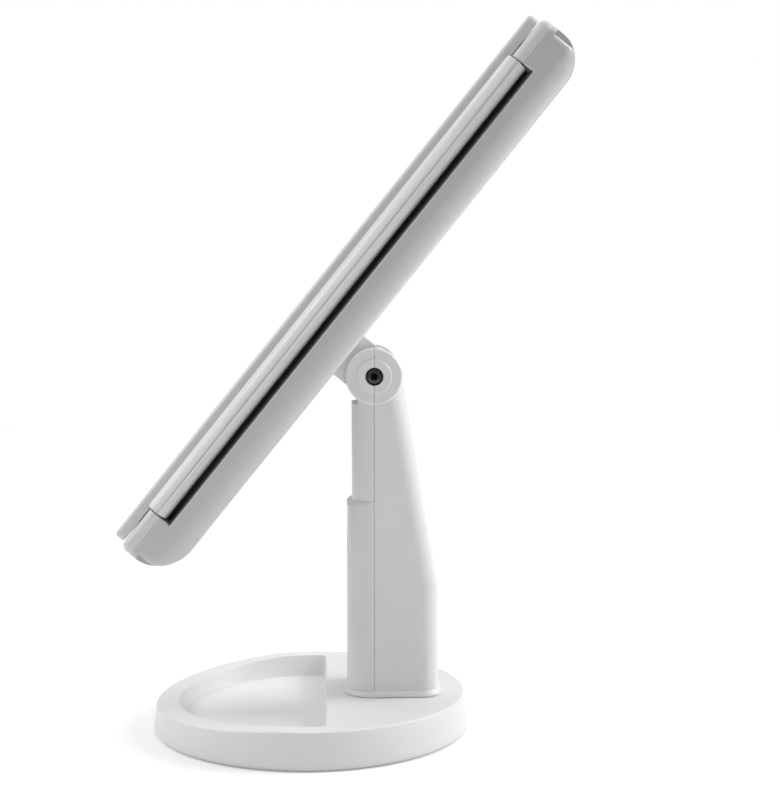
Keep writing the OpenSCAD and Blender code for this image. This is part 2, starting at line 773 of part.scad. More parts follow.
module front_frame() color(abs_white) at_head() difference() {
    union() {
        difference() {
            frame_form();
            // hollow behind the bottom border
            head_plate(recess_x - 1, head_bottom + head_wall + 1, recess_bottom - head_wall, 3,
                front_y + border_wall, seam_y + 1);
        }
        boss_blocks(0);
        button_guide();
        light_rails();
        driver_posts();
    }
    head_plate(recess_x, recess_bottom, recess_top, 3, front_y - 1, recess_floor_y);
    roll_room(0, seam_y + 5);
    for (s = [-1, 1]) translate([s * window_x - slot_w / 2, front_y, recess_bottom + slot_inset])
        cube([slot_w, frame_d + 1, recess_top - recess_bottom - 2 * slot_inset]);
    for (s = [-1, 1], z = post_zs) {
        y_cyl(s * post_x, front_y, seam_y + 1, z, small_shank_r);
        translate([s * post_x, recess_floor_y - eps, z]) rotate([-90, 0, 0])
            cylinder(r1 = small_head_r, r2 = small_shank_r - 0.2, h = small_head_r - small_shank_r + 0.2);
    }
    y_cyl(0, front_y - 1, seam_y + 5, button_z, button_d / 2 + gap);
    for (s = [-1, 1]) translate([s * axis_x, axis_y, head_bottom - 5])
        cylinder(r = pin_r, h = head_l + 10);
}

// Short tube that guides the button
module button_guide() {
    difference() {
        y_cyl(0, front_y + 1, seam_y - 0.2, button_z, button_d / 2 + gap + 2);
        y_cyl(0, front_y + border_wall, seam_y + 1, button_z, button_d / 2 + gap + 0.9);
    }
}

// Rails behind the frame that carry the light boards
module light_rails() {
    for (s = [-1, 1], e = [-1, 1])
        translate([s * window_x + e * (slot_w / 2 + 0.6) - 0.5, seam_y - eps, recess_bottom + slot_inset])
            cube([1, board_gap + eps, recess_top - recess_bottom - 2 * slot_inset]);
}

// Four posts that carry the driver board
module driver_posts() {
    for (i = [-1, 1], j = [-1, 1])
        y_cyl(i * (driver_size[0] / 2 - 4), front_y + 1, driver_y - board_t,
            driver_z + j * (driver_size[1] / 2 - 4), 2);
}

module mirror_tape() color(abs_grey) at_head() {
    for (s = [-1, 1], k = [0, 1])
        translate([s * (mirror_half_w * (k == 0 ? 0.5 : 1) - tape_w / 2 - 2) - tape_w / 2,
            recess_floor_y - tape_t, recess_bottom + 6])
            cube([tape_w, tape_t, recess_top - recess_bottom - 12]);
}

module centre_mirror() color(mirror_silver) at_head()
    head_plate(mirror_half_w, recess_bottom + pane_clear, recess_top - pane_clear, 1,
        recess_floor_y - tape_t - glass_t, recess_floor_y - tape_t);

module light_windows() color(abs_grey) at_head() for (s = [-1, 1])
    translate([s * window_x, 0, 0])
        head_plate(window_w / 2, recess_bottom + pane_clear, recess_top - pane_clear, 2.5,
            recess_floor_y - tape_t - glass_t, recess_floor_y);

module led_boards() color(board_green) at_head() for (s = [-1, 1])
    translate([s * window_x - slot_w / 2 - 1.2, seam_y + board_gap, recess_bottom + slot_inset])
        cube([slot_w + 2.4, board_t, recess_top - recess_bottom - 2 * slot_inset]);

module led_chips() color([1, 0.95, 0.6]) at_head() {
    z0 = recess_bottom + slot_inset + 8;
    step = (recess_top - recess_bottom - 2 * slot_inset - 16) / (led_count - 1);
    for (s = [-1, 1], k = [0:led_count - 1])
        translate([s * window_x - 1.4, seam_y + board_gap - chip_t, z0 + k * step - 1.7])
            cube([2.8, chip_t, 3.4]);
}

module driver_board() color(board_green) at_head()
    translate([-driver_size[0] / 2, driver_y - board_t, driver_z - driver_size[1] / 2])
        cube([driver_size[0], board_t, driver_size[1]]);

module push_switch() color(black) at_head() difference() {
    translate([-switch_size / 2, driver_y - board_t - switch_h + 1, button_z - switch_size / 2])
        cube([switch_size, switch_h - 1, switch_size]);
    y_cyl(0, -far, driver_y - board_t - 0.8, button_z, well_r);
}

module power_button() color(abs_grey) at_head() {
    y_cyl(0, front_y + 0.3, front_y + 3.2, button_z, button_d / 2);
    translate([0, front_y + 0.3 + eps, button_z]) rotate([90, 0, 0])
        cylinder(r1 = button_d / 2, r2 = button_d / 2 - 0.3, h = 0.3 + eps);
    y_cyl(0, front_y + border_wall + gap, front_y + border_wall + gap + 0.8, button_z,
        button_d / 2 + 0.8);
    y_cyl(0, front_y + 3, driver_y - board_t - 1 - button_travel - gap, button_z, plunger_r);
}

module head_screws() color(steel) at_head() for (s = [-1, 1], z = post_zs) {
    translate([s * post_x, recess_floor_y, z]) rotate([-90, 0, 0])
        cylinder(r1 = small_head_r - 0.05, r2 = thread_r, h = small_head_r - thread_r);
    y_cyl(s * post_x, recess_floor_y + 0.1, seam_y + 8, z, thread_r);
}

module head_wires() color(black) at_head() for (s = [-1, 1]) {
    z0 = (barrel_r + sleeve_r) / 2 - 0.4;
    a = [s * 0.85, back_y + 6, z0];
    b = [s * 0.85, back_y - 8.5, z0];
    c = [s * 0.85, back_y - 8.5, button_z + 14];
    d = [s * 0.85, driver_y, button_z + 14];
    rod(a, b, wire_r);
    rod(b, c, wire_r);
    rod(c, d, wire_r);
    translate(b) sphere(wire_r);
    translate(c) sphere(wire_r);
}

module hinge_pins() color(steel) for (side = [-1, 1]) at_hinge(side) for (e = [0, 1]) mirror([0, 0, e])
    translate([0, 0, roll_l / 2 - pin_in]) cylinder(r = pin_r, h = head_l / 2 - pin_recess - roll_l / 2 + pin_in);

// ---------- wings ----------

// Flat panel of a wing, with soft front edges, lying towards the head's middle
module panel_form() {
    r = 2.5;
    hull() for (x = [-panel_edge - panel_w + r, -panel_edge - r], z = [-wing_l / 2 + r, wing_l / 2 - r])
        translate([x, panel_back, z]) rotate([90, 0, 0]) rotate_extrude($fn = hull_fn)
            polygon(concat([[0, 0], [r, 0]],
                [for (a = [0:18:90]) [r - edge_round * (1 - cos(a)), wing_t - edge_round * (1 - sin(a))]],
                [[0, wing_t]]));
}

// Pocket in the panel's rear face for a pane between heights z0 and z1
module pane(z0, z1, clear, y0, y1) {
    translate([-panel_edge - panel_w / 2, 0, 0])
        head_plate(panel_w / 2 - wing_border - clear, z0 + clear, z1 - clear, 1.5, y0, y1);
}

module wing_shell(panes) difference() {
    union() {
        panel_form();
        difference() {
            translate([0, 0, -roll_l / 2]) cylinder(r = roll_r, h = roll_l);
            translate([-far / 2, -line_gap / 2, -far / 2]) cube([far, far, far]);
        }
        // web between the roll and the panel
        translate([-panel_edge - 1, panel_back - 1.2, -roll_l / 2]) cube([panel_edge, 1.2, roll_l]);
    }
    translate([0, 0, -roll_l / 2 - 1]) cylinder(r = pin_r + run + bush_wall, h = roll_l + 2);
    for (p = panes) pane(p[0], p[1], 0, panel_back - glass_depth, panel_back + 1);
}

module roll_cover() difference() {
    translate([0, 0, -roll_l / 2]) cylinder(r = roll_r, h = roll_l);
    translate([-far / 2, line_gap / 2 - far, -far / 2]) cube([far, far, far]);
    translate([0, 0, -roll_l / 2 - 1]) cylinder(r = pin_r + run + bush_wall, h = roll_l + 2);
}

module wing_tape(panes) for (p = panes)
    translate([-panel_edge - panel_w / 2, panel_back - glass_depth, p[0] + 6])
        for (s = [-1, 1]) translate([s * panel_w / 4 - tape_w / 2, 0, 0]) cube([tape_w, tape_t, p[1] - p[0] - 12]);

module wing_mirror(p)
    pane(p[0], p[1], pane_clear, panel_back - glass_depth + tape_t, panel_back - glass_depth + tape_t + glass_t);

module hinge_bushes() for (e = [0, 1]) mirror([0, 0, e]) translate([0, 0, roll_l / 2 - bush_l])
    difference() {
        cylinder(r = pin_r + run + bush_wall, h = bush_l);
        translate([0, 0, -eps]) cylinder(r = pin_r + run, h = bush_l + 2 * eps);
    }

wing_pane_l = wing_l / 2 - wing_border;
full_pane = [[-wing_pane_l, wing_pane_l]];
split_panes = [[-wing_pane_l, -divider / 2], [divider / 2, wing_pane_l]];

module right_wing_shell() color(abs_white) at_hinge(1) wing_shell(full_pane);
module right_roll_cover() color(abs_white) at_hinge(1) roll_cover();
module right_wing_tape() color(abs_grey) at_hinge(1) wing_tape(full_pane);
module right_wing_mirror() color(mirror_silver) at_hinge(1) wing_mirror(full_pane[0]);
module right_hinge_bushes() color(brass) at_hinge(1) hinge_bushes();
module left_wing_shell() color(abs_white) at_hinge(-1) wing_shell(split_panes);
module left_roll_cover() color(abs_white) at_hinge(-1) roll_cover();
module left_wing_tape() color(abs_grey) at_hinge(-1) wing_tape(split_panes);
module left_upper_mirror() color(mirror_silver) at_hinge(-1) wing_mirror(split_panes[1]);
module left_lower_mirror() color(mirror_silver) at_hinge(-1) wing_mirror(split_panes[0]);
module left_hinge_bushes() color(brass) at_hinge(-1) hinge_bushes();

base_tray();
base_plate();
base_weight();
base_pad();
base_screws();
stem_screws();
stem_collar();
stem_rear_shell();
stem_front_shell();
battery_door();
battery_holder();
battery_cells();
battery_contacts();
contact_springs();
shell_screws();
stem_wires();
pivot_screw();
pivot_nut();
pivot_washers();
pivot_sleeve();
neck_bracket();
neck_plate();
neck_screws();
rear_housing();
gap_strips();
front_frame();
mirror_tape();
centre_mirror();
light_windows();
led_boards();
led_chips();
driver_board();
push_switch();
power_button();
head_screws();
head_wires();
hinge_pins();
right_wing_shell();
right_roll_cover();
right_wing_tape();
right_wing_mirror();
right_hinge_bushes();
left_wing_shell();
left_roll_cover();
left_wing_tape();
left_upper_mirror();
left_lower_mirror();
left_hinge_bushes();
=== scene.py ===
# %% [markdown]
# # A folding vanity mirror
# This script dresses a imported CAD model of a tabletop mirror: two wings shut over a
# centre pane, a hollow stem with a tilt pivot, and a round base with a tray. The shells
# that shape the outline are made again here as smooth numpy surfaces. The stem's own
# shells and the small parts keep their CAD meshes and get a finish.

# %% Load the frame
import math

import bmesh
import bpy
import numpy as np
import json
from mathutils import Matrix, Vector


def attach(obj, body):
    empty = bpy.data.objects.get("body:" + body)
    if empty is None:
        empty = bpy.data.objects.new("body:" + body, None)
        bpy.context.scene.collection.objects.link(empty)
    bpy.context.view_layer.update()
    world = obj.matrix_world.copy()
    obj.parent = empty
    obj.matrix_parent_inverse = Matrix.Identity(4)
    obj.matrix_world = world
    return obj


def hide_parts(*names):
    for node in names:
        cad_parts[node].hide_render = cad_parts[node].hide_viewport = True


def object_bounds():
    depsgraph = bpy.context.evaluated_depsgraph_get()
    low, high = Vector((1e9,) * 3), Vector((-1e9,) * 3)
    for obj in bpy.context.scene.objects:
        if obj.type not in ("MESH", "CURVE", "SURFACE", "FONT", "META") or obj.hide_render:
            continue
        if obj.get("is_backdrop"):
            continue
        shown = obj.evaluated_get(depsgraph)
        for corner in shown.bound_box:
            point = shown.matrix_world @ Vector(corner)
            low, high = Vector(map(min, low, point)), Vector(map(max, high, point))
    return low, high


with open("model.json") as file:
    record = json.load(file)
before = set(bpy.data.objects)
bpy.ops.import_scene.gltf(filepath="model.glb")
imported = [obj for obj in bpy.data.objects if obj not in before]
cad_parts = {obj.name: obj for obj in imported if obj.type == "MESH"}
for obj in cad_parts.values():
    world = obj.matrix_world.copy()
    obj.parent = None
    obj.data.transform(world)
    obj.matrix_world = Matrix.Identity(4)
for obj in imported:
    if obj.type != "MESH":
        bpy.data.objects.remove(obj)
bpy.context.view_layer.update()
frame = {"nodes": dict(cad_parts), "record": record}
nodes = frame["nodes"]
MM = 0.001
TILT = math.radians(38.8)

# %% [markdown]
# ## Camera
# The photograph looks along the pivot axis from 0.64 metres, a little from above. The
# place and lens were fitted to the base's outline and to the wings, whose faces are seen
# exactly edge on. Nothing is shifted, so every other view can reuse the same lens.

# %% Camera
CAMERA_AT = (0.640, 0.00604, 0.18848)
CAMERA_PITCH = math.radians(4.860)
CAMERA_YAW = math.radians(2.393)
LENS_MM = 69.55

camera_data = bpy.data.cameras.new("camera")
camera_data.sensor_fit = "VERTICAL"
camera_data.sensor_height = 36.0
camera_data.lens = LENS_MM
camera_data.clip_start = 0.02
camera = bpy.data.objects.new("camera", camera_data)
camera.location = CAMERA_AT
camera.rotation_euler = (math.pi / 2 - CAMERA_PITCH, 0.0, math.pi / 2 - CAMERA_YAW)
bpy.context.scene.collection.objects.link(camera)
bpy.context.scene.camera = camera
bpy.context.scene.view_settings.view_transform = "Standard"
print("camera at", CAMERA_AT, "lens", LENS_MM)

# %% [markdown]
# ## A shared skin
# Moulded plastic is never one flat colour: the tool leaves a fine spark-eroded grain,
# and the wall's thickness tints it slightly. One node group works this out for every
# plastic, so the grain has the same real size on all of them.

# %% Node group for moulded skin


def noise(tree, vector, scale, detail, rough=0.5):
    """A noise texture read at a vector; scale is in cycles per metre."""
    made = tree.nodes.new("ShaderNodeTexNoise")
    made.inputs["Scale"].default_value = scale
    made.inputs["Detail"].default_value = detail
    made.inputs["Roughness"].default_value = rough
    tree.links.new(vector, made.inputs["Vector"])
    return made


def ranged(tree, value, low, high, to_low, to_high):
    """Value mapped from low..high to to_low..to_high, clamped."""
    made = tree.nodes.new("ShaderNodeMapRange")
    tree.links.new(value, made.inputs["Value"])
    sockets = ("From Min", "From Max", "To Min", "To Max")
    for socket, number in zip(sockets, (low, high, to_low, to_high)):
        made.inputs[socket].default_value = number
    return made.outputs["Result"]


def spread(tree, marks, low=0.0, high=1.0):
    """Noise spread over low..high; nearly all of it lies between 0.3 and 0.7."""
    return ranged(tree, marks, 0.3, 0.7, low, high)


def skin_group():
    """Grain: fine noise of about 0.4 mm. Tone: soft clouds of about 60 mm."""
    group = bpy.data.node_groups.new("moulded_skin", "ShaderNodeTree")
    for socket in ("Grain", "Tone"):
        group.interface.new_socket(socket, in_out="OUTPUT", socket_type="NodeSocketFloat")
    out = group.nodes.new("NodeGroupOutput")
    place = group.nodes.new("ShaderNodeTexCoord").outputs["Object"]
    fine = noise(group, place, 2200.0, 3.0)
    cloud = noise(group, place, 17.0, 3.0)
    group.links.new(fine.outputs["Fac"], out.inputs["Grain"])
    group.links.new(spread(group, cloud.outputs["Fac"]), out.inputs["Tone"])
    return group


SKIN = skin_group()
print("group:", SKIN.name)

# %% [markdown]
# ## Finishes
# Each of the record's material slots gets a finish, and the white shell gets three more
# tones with painted light: a darker head and a darker frame and wing panels are painted
# shade, and brighter, streaked hinge rolls are painted highlight and reflection. A number
# that is the same all over, such as coat or specular level, is set on the shader's own socket.
# What changes over the surface comes from the shared group.

# %% Plastic and rubber


def blank(name):
    """A new material with its tree, Principled shader and nothing else linked."""
    material = bpy.data.materials.new(name)
    material.use_nodes = True
    tree = material.node_tree
    return material, tree, tree.nodes["Principled BSDF"]


def mix_colours(tree, factor, first, second):
    """A colour that goes from first to second as factor goes from 0 to 1."""
    made = tree.nodes.new("ShaderNodeMix")
    made.data_type = "RGBA"
    made.inputs["A"].default_value = (*first, 1.0)
    made.inputs["B"].default_value = (*second, 1.0)
    tree.links.new(factor, made.inputs["Factor"])
    return made.outputs["Result"]


def bumped(tree, height, depth, strength):
    """A normal bumped by height, with the bump's real depth in metres."""
    made = tree.nodes.new("ShaderNodeBump")
    made.inputs["Distance"].default_value = depth
    made.inputs["Strength"].default_value = strength
    tree.links.new(height, made.inputs["Height"])
    return made.outputs["Normal"]


def flow_and_sheen_streaks(tree):
    """Noise drawn out fifty times along the leaning head: flow marks of a long moulding, and
    painted reflection streaks.
    """
    drawn = tree.nodes.new("ShaderNodeMapping")
    drawn.vector_type = "TEXTURE"
    drawn.inputs["Rotation"].default_value = (-TILT, 0.0, 0.0)
    drawn.inputs["Scale"].default_value = (1.0, 1.0, 50.0)
    tree.links.new(tree.nodes.new("ShaderNodeTexCoord").outputs["Object"], drawn.inputs["Vector"])
    return noise(tree, drawn.outputs["Vector"], 750.0, 4.0, 0.7).outputs["Fac"]


def plastic(name, light, dark, rough_low, rough_high, grain_depth, coat=0.0, drawn=False):
    """Moulded plastic: two close tones by cloud, or by flow marks with painted reflection streaks;
    the rest by grain.

    light and dark are the tones; rough_low and rough_high are the ends of the roughness;
    grain_depth is in metres.
    """
    material, tree, shader = blank(name)
    skin = tree.nodes.new("ShaderNodeGroup")
    skin.node_tree = SKIN
    tone = spread(tree, flow_and_sheen_streaks(tree)) if drawn else skin.outputs["Tone"]
    grain = skin.outputs["Grain"]
    tree.links.new(mix_colours(tree, tone, light, dark), shader.inputs["Base Color"])
    tree.links.new(spread(tree, grain, rough_low, rough_high), shader.inputs["Roughness"])
    tree.links.new(bumped(tree, grain, grain_depth, 0.5), shader.inputs["Normal"])
    shader.inputs["Coat Weight"].default_value = coat
    shader.inputs["Coat Roughness"].default_value = 0.2
    shader.inputs["Specular IOR Level"].default_value = 0.5
    return material


PLASTICS = {
    "white_shell": ((0.83, 0.828, 0.823), (0.80, 0.798, 0.795), 0.34, 0.46, 2e-5),
    # The next three rows are the white shell again with painted light: darker for the head and for
    # the frame and wing panels, painted shade; brighter with streaks for the rolls, painted
    # highlight and reflection.
    "white_head_painted_shade": ((0.575, 0.572, 0.568), (0.55, 0.547, 0.545), 0.30, 0.42, 2e-5, 0.4),
    "white_frame_painted_shade": ((0.71, 0.707, 0.703), (0.685, 0.682, 0.68), 0.30, 0.42, 2e-5, 0.3),
    "white_roll_painted_sheen": ((0.93, 0.928, 0.92), (0.69, 0.687, 0.68), 0.24, 0.40, 2e-5, 0.0, True),
    "grey_plastic": ((0.44, 0.45, 0.46), (0.39, 0.40, 0.41), 0.42, 0.55, 3e-5),
    # This tone also dresses the liners in the rooms beside the hinge rolls: dark sheets that stand
    # for the deep shade in that gap, painted shade.
    "black_plastic": ((0.056, 0.055, 0.053), (0.044, 0.043, 0.042), 0.55, 0.7, 4e-5),
    "dark_rubber": ((0.035, 0.035, 0.036), (0.022, 0.022, 0.023), 0.75, 0.9, 8e-5),
    "wire_rubber": ((0.10, 0.014, 0.012), (0.07, 0.010, 0.010), 0.45, 0.6, 3e-5),
    "foam_tape": ((0.42, 0.42, 0.41), (0.34, 0.34, 0.33), 0.85, 0.95, 1.5e-4),
    "frosted_window": ((0.88, 0.88, 0.86), (0.82, 0.82, 0.81), 0.48, 0.6, 2e-5),
    "board": ((0.020, 0.115, 0.050), (0.014, 0.085, 0.038), 0.3, 0.42, 3e-5),
    "led": ((0.88, 0.70, 0.22), (0.80, 0.60, 0.16), 0.3, 0.4, 2e-5),
}
finishes = {name: plastic(name, *row) for name, row in PLASTICS.items()}

# %% [markdown]
# ## Metals and glass
# Screws and pins are turned steel, so their grain runs round them; a stretched noise
# stands in for the turning marks. The panes are silvered on the back: the mirror is a
# smooth metal under a clear coat.

# %% Metals and glass


def metal(name, light, dark, rough_low, rough_high, metallic=1.0):
    """Turned metal: noise drawn out along X breaks up its tone and roughness."""
    material, tree, shader = blank(name)
    place = tree.nodes.new("ShaderNodeTexCoord").outputs["Object"]
    drawn = tree.nodes.new("ShaderNodeMapping")
    drawn.inputs["Scale"].default_value = (0.15, 1.0, 1.0)
    tree.links.new(place, drawn.inputs["Vector"])
    marks = noise(tree, drawn.outputs["Vector"], 1800.0, 4.0).outputs["Fac"]
    colour = mix_colours(tree, spread(tree, marks), light, dark)
    tree.links.new(colour, shader.inputs["Base Color"])
    tree.links.new(spread(tree, marks, rough_low, rough_high), shader.inputs["Roughness"])
    tree.links.new(bumped(tree, marks, 1e-5, 0.4), shader.inputs["Normal"])
    shader.inputs["Metallic"].default_value = metallic
    return material


def silvered(name):
    """Mirror: bright metal with the faintest waviness of float glass, under a coat."""
    material, tree, shader = blank(name)
    place = tree.nodes.new("ShaderNodeTexCoord").outputs["Object"]
    waves = noise(tree, place, 9.0, 1.0).outputs["Fac"]
    smears = noise(tree, place, 60.0, 4.0).outputs["Fac"]
    tree.links.new(mix_colours(tree, waves, (0.84, 0.87, 0.87), (0.80, 0.84, 0.85)),
                   shader.inputs["Base Color"])
    tree.links.new(ranged(tree, smears, 0.4, 0.8, 0.015, 0.05), shader.inputs["Roughness"])
    shader.inputs["Metallic"].default_value = 1.0
    shader.inputs["Coat Weight"].default_value = 0.6
    shader.inputs["Coat Roughness"].default_value = 0.02
    return material


METALS = {
    "plain_steel": ((0.60, 0.60, 0.61), (0.48, 0.48, 0.49), 0.25, 0.42),
    "black_steel": ((0.13, 0.13, 0.13), (0.08, 0.08, 0.08), 0.18, 0.3),
    "cell_steel": ((0.20, 0.22, 0.25), (0.15, 0.17, 0.20), 0.28, 0.4, 0.6),
    "bearing_brass": ((0.72, 0.52, 0.22), (0.60, 0.42, 0.17), 0.22, 0.38),
}
finishes.update({name: metal(name, *row) for name, row in METALS.items()})
finishes["silvered_glass"] = silvered("silvered_glass")
print("finishes:", len(finishes))

# %% [markdown]
# ## Sizes
# The CAD source gives these numbers, in millimetres. Only the head's two ends and the
# wings' length are drawn out here by up to 0.9 mm, as the photograph shows them. The
# head's own frame has its origin on the pivot axis, z up the head and y to the rear; a
# wing's frame has its origin on its hinge axis, with x pointing out of the head.

# %% Sizes and frames
PIVOT_Y, PIVOT_Z = 25.8, 146.3
BASE_R, BASE_DRAFT, BASE_H, BASE_WALL, BASE_LIFT = 65.5, 2.0, 14.9, 2.0, 0.5
RIM_SLOPE, RIM_START, RIM_W = math.radians(4.6), 13.4, 7.7
TRAY_WALL_Y, TRAY_FLOOR_Z, TRAY_DRAFT = 5.9, 6.0, 3.0
HALF_STEM, STEM_FRONT, STEM_REAR, FRONT_ROUND, REAR_ROUND = 16.0, 17.0, 52.3, 10.0, 7.0
FOOT_Z, DOOR_Y, DOOR_BACK, DOOR_TOP = 17.4, 14.9, 25.74, 95.4
HALF_HEAD, HEAD_TOP, HEAD_BOTTOM, HEAD_UP = 87.5, 138.3, -102.4, 18.05
BACK_Y, SEAM_Y, FRONT_Y = -16.2, -32.75, -37.4
CORNER_R, BACK_R, BOTTOM_R, SIDE_R, SEAM_SOFT = 3.5, 11.4, 14.2, 9.5, 0.35
AXIS_X, AXIS_Y, AXIS_BACK = 83.4, -34.7, 2.7
ROLL_R, ROLL_L, BORE_R = 4.0, 204.4, 2.55
CUT_X, CUT_Y, CUT_L = 78.6, -28.55, 205.6
RECESS_X, RECESS_LOW, RECESS_HIGH = 74.8, -84.25, 131.15
PANEL_X0, PANEL_X1, PANEL_BACK, WING_T, WING_L = -83.1, -4.4, -3.0, 4.1, 239.3
PANEL_MIDDLE, PANEL_HALF = (PANEL_X0 + PANEL_X1) / 2, (PANEL_X1 - PANEL_X0) / 2
HEAD_WALL, HEAD_BACK_WALL, END_WALL = 1.8, 2.2, 3.9
NECK_HOLE_X, NECK_HOLE_Z, NECK_PLATE_T = 11.5, 9.9, 0.55
WINDOW_X, BUTTON_Z, BUTTON_HOLE_R, PIN_HOLE_R, PIN_HOLE_L = 69.6, -93.05, 4.6, 1.5, 22.0
FRAME_IN, PANE_GAP, PANE_FRONT = 0.2, 0.2, SEAM_Y - 4.6


def to_head(points):
    """Points of the head's frame in the shared frame: leaned back, then moved to the pivot."""
    x, y, z = np.moveaxis(np.asarray(points, float), -1, 0)
    cos, sin = math.cos(TILT), math.sin(TILT)
    return np.stack([x, PIVOT_Y + y * cos + z * sin, PIVOT_Z - y * sin + z * cos], -1)


def to_wing(points, side):
    """Points of a wing's frame in the shared frame; side is 1 on the right, -1 on the left."""
    x, y, z = np.moveaxis(np.asarray(points, float), -1, 0)
    return to_head(np.stack([side * (x + AXIS_X), y + AXIS_Y, z + HEAD_UP], -1))


# %% [markdown]
# ## Lofts
# Every shell here is a loft: a stack of closed rings with the same number of points.
# Quads join each ring to the next, and one face closes each end, so the mesh is always
# closed. Holes and steps are then cut with a second loft.

# %% Mesh helpers
SHARP = math.radians(35)


def make(name, *lofts):
    """One mesh of closed lofts, each an array (rings, points, 3) in millimetres."""
    points, faces = [], []
    for rings in lofts:
        rings = np.asarray(rings, float)
        count, size = rings.shape[:2]
        grid = len(points) + np.arange(count * size).reshape(count, size)
        beside = np.roll(grid, -1, axis=1)
        quads = np.stack([grid[:-1], beside[:-1], beside[1:], grid[1:]], -1)
        faces += quads.reshape(-1, 4).tolist() + [grid[0][::-1].tolist(), grid[-1].tolist()]
        points += rings.reshape(-1, 3).tolist()
    mesh = bpy.data.meshes.new(name)
    mesh.from_pydata((np.array(points) * MM).tolist(), [], faces)
    shape = bmesh.new()
    shape.from_mesh(mesh)
    bmesh.ops.recalc_face_normals(shape, faces=shape.faces)
    shape.to_mesh(mesh)
    shape.free()
    piece = bpy.data.objects.new(name, mesh)
    bpy.context.scene.collection.objects.link(piece)
    return piece


def combine(piece, other, operation):
    """Cut the other mesh out of the piece, or join it on, and throw the other away."""
    step = piece.modifiers.new("combine", "BOOLEAN")
    step.object = other
    step.operation = operation
    step.solver = "EXACT"
    graph = bpy.context.evaluated_depsgraph_get()
    mesh = bpy.data.meshes.new_from_object(piece.evaluated_get(graph))
    piece.modifiers.clear()
    piece.data, old = mesh, piece.data
    bpy.data.meshes.remove(old)
    bpy.data.meshes.remove(other.data)
    return piece


def soft_edges(piece, width):
    """A small two-segment bevel on every sharp edge."""
    bevel = piece.modifiers.new("edges", "BEVEL")
    bevel.width = width * MM
    bevel.segments = 2
    bevel.limit_method = "ANGLE"
    bevel.angle_limit = SHARP
    bevel.harden_normals = True
    bevel.miter_outer = "MITER_ARC"


def dress(piece, finish, slot, body, *stands_for, edge=0.0):
    """Smooth shading, an edge bevel, a finish, and the piece's place in the frame."""
    piece.data.shade_smooth()
    piece.data.set_sharp_from_angle(angle=SHARP)
    if edge:
        soft_edges(piece, edge)
    piece.data.materials.clear()
    piece.data.materials.append(finishes[finish])
    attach(piece, body)
    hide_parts(*stands_for)
    print("piece:", piece.name, len(piece.data.polygons), "faces")


# %% [markdown]
# ## Outlines
# Most rings are rounded rectangles. A plate stacks them along the head's depth and draws
# them in where an edge is rounded, by the quarter-circle rule: at angle a the ring is
# drawn in by r(1 - sin a) and lies r(1 - cos a) behind the face.

# %% Outlines


def rounded_rect(half_w, low, high, r_low, r_high, steps=10):
    """Points (x, z) round a rectangle whose lower and upper corners have their own radius."""
    angle = np.linspace(0, np.pi / 2, steps + 1)
    corners = []
    places = ((1, high, r_high), (-1, high, r_high), (-1, low, r_low), (1, low, r_low))
    for quarter, (sx, z, r) in enumerate(places):
        turn = angle + quarter * np.pi / 2
        mid_x, mid_z = sx * (half_w - r), z - r if quarter < 2 else z + r
        corners.append(np.stack([mid_x + r * np.cos(turn), mid_z + r * np.sin(turn)], -1))
    return np.concatenate(corners)


def levels(front, back, r_front, r_back, steps=6):
    """Pairs (depth, inset) from the front face over the side to the back face."""
    angle = np.linspace(0, np.pi / 2, steps + 1)

    def edge(face, r, way, angles):
        return [(face + way * r * (1 - math.cos(a)), r * (1 - math.sin(a))) for a in angles]

    at_front = edge(front, r_front, 1, angle) if r_front else [(front, 0.0)]
    return at_front + (edge(back, r_back, -1, angle[::-1]) if r_back else [(back, 0.0)])


def plate(half_w, low, high, corner, stack, middle=0.0):
    """Rings of a rounded plate in the x-z plane, one for each (depth, inset) of a stack."""
    rings = []
    for depth, inset in stack:
        r = max(corner - inset, 0.05)
        flat = rounded_rect(half_w - inset, low + inset, high - inset, r, r)
        rings.append(np.stack([flat[:, 0] + middle, np.full(len(flat), depth), flat[:, 1]], -1))
    return np.array(rings)


def tube(x, y, z, radius, axis, low, high, steps=48):
    """Two rings of a plain cylinder along one axis, for cutting holes."""
    angle = np.linspace(0, 2 * np.pi, steps, endpoint=False)
    u, v = radius * np.cos(angle), radius * np.sin(angle)
    rings = []
    for end in (low, high):
        if axis == "y":
            rings.append(np.stack([x + u, np.full(steps, end), z + v], -1))
        else:
            rings.append(np.stack([x + u, y + v, np.full(steps, end)], -1))
    return np.array(rings)


# %% [markdown]
# ## Base
# The base is one thin shell. A single stack of rings climbs from the tray's floor, over
# the rim and down the outside, and comes back under the rim at the wall's thickness. The
# tray is a half moon, so its outline is an arc, a straight wall and two small corners.
# Every outer point lies on the ray from the tray's middle through its own tray point.

# %% Base
ARC_POINTS, WALL_POINTS = 160, 60
TRAY_MIDDLE = np.array([0.0, -22.0])
FLOOR_R, EDGE_R, RIM_R, TRAY_CORNER = 0.45, 0.35, 0.7, 1.5


def tray_outline(radius, wall_y, corner):
    """Half-moon points (x, y): the arc, then the right corner, the wall and the left corner.

    The corner arcs touch the wall and the arc from inside: their centres lie at
    wall_y - corner and at radius - corner from the middle of the base.
    """
    mid_y = wall_y - corner
    mid_x = math.sqrt((radius - corner) ** 2 - mid_y ** 2)
    turn = math.atan2(mid_y, mid_x)
    big = np.linspace(math.pi - turn, 2 * math.pi + turn, ARC_POINTS + 2)[1:-1]
    small = np.linspace(turn, math.pi / 2, 9)
    arc = np.stack([radius * np.cos(big), radius * np.sin(big)], -1)
    right = np.stack([mid_x + corner * np.cos(small), mid_y + corner * np.sin(small)], -1)
    across = np.linspace(mid_x, -mid_x, WALL_POINTS + 2)[1:-1]
    wall = np.stack([across, np.full(WALL_POINTS, wall_y)], -1)
    return np.concatenate([arc, right, wall, right[::-1] * (-1, 1)])


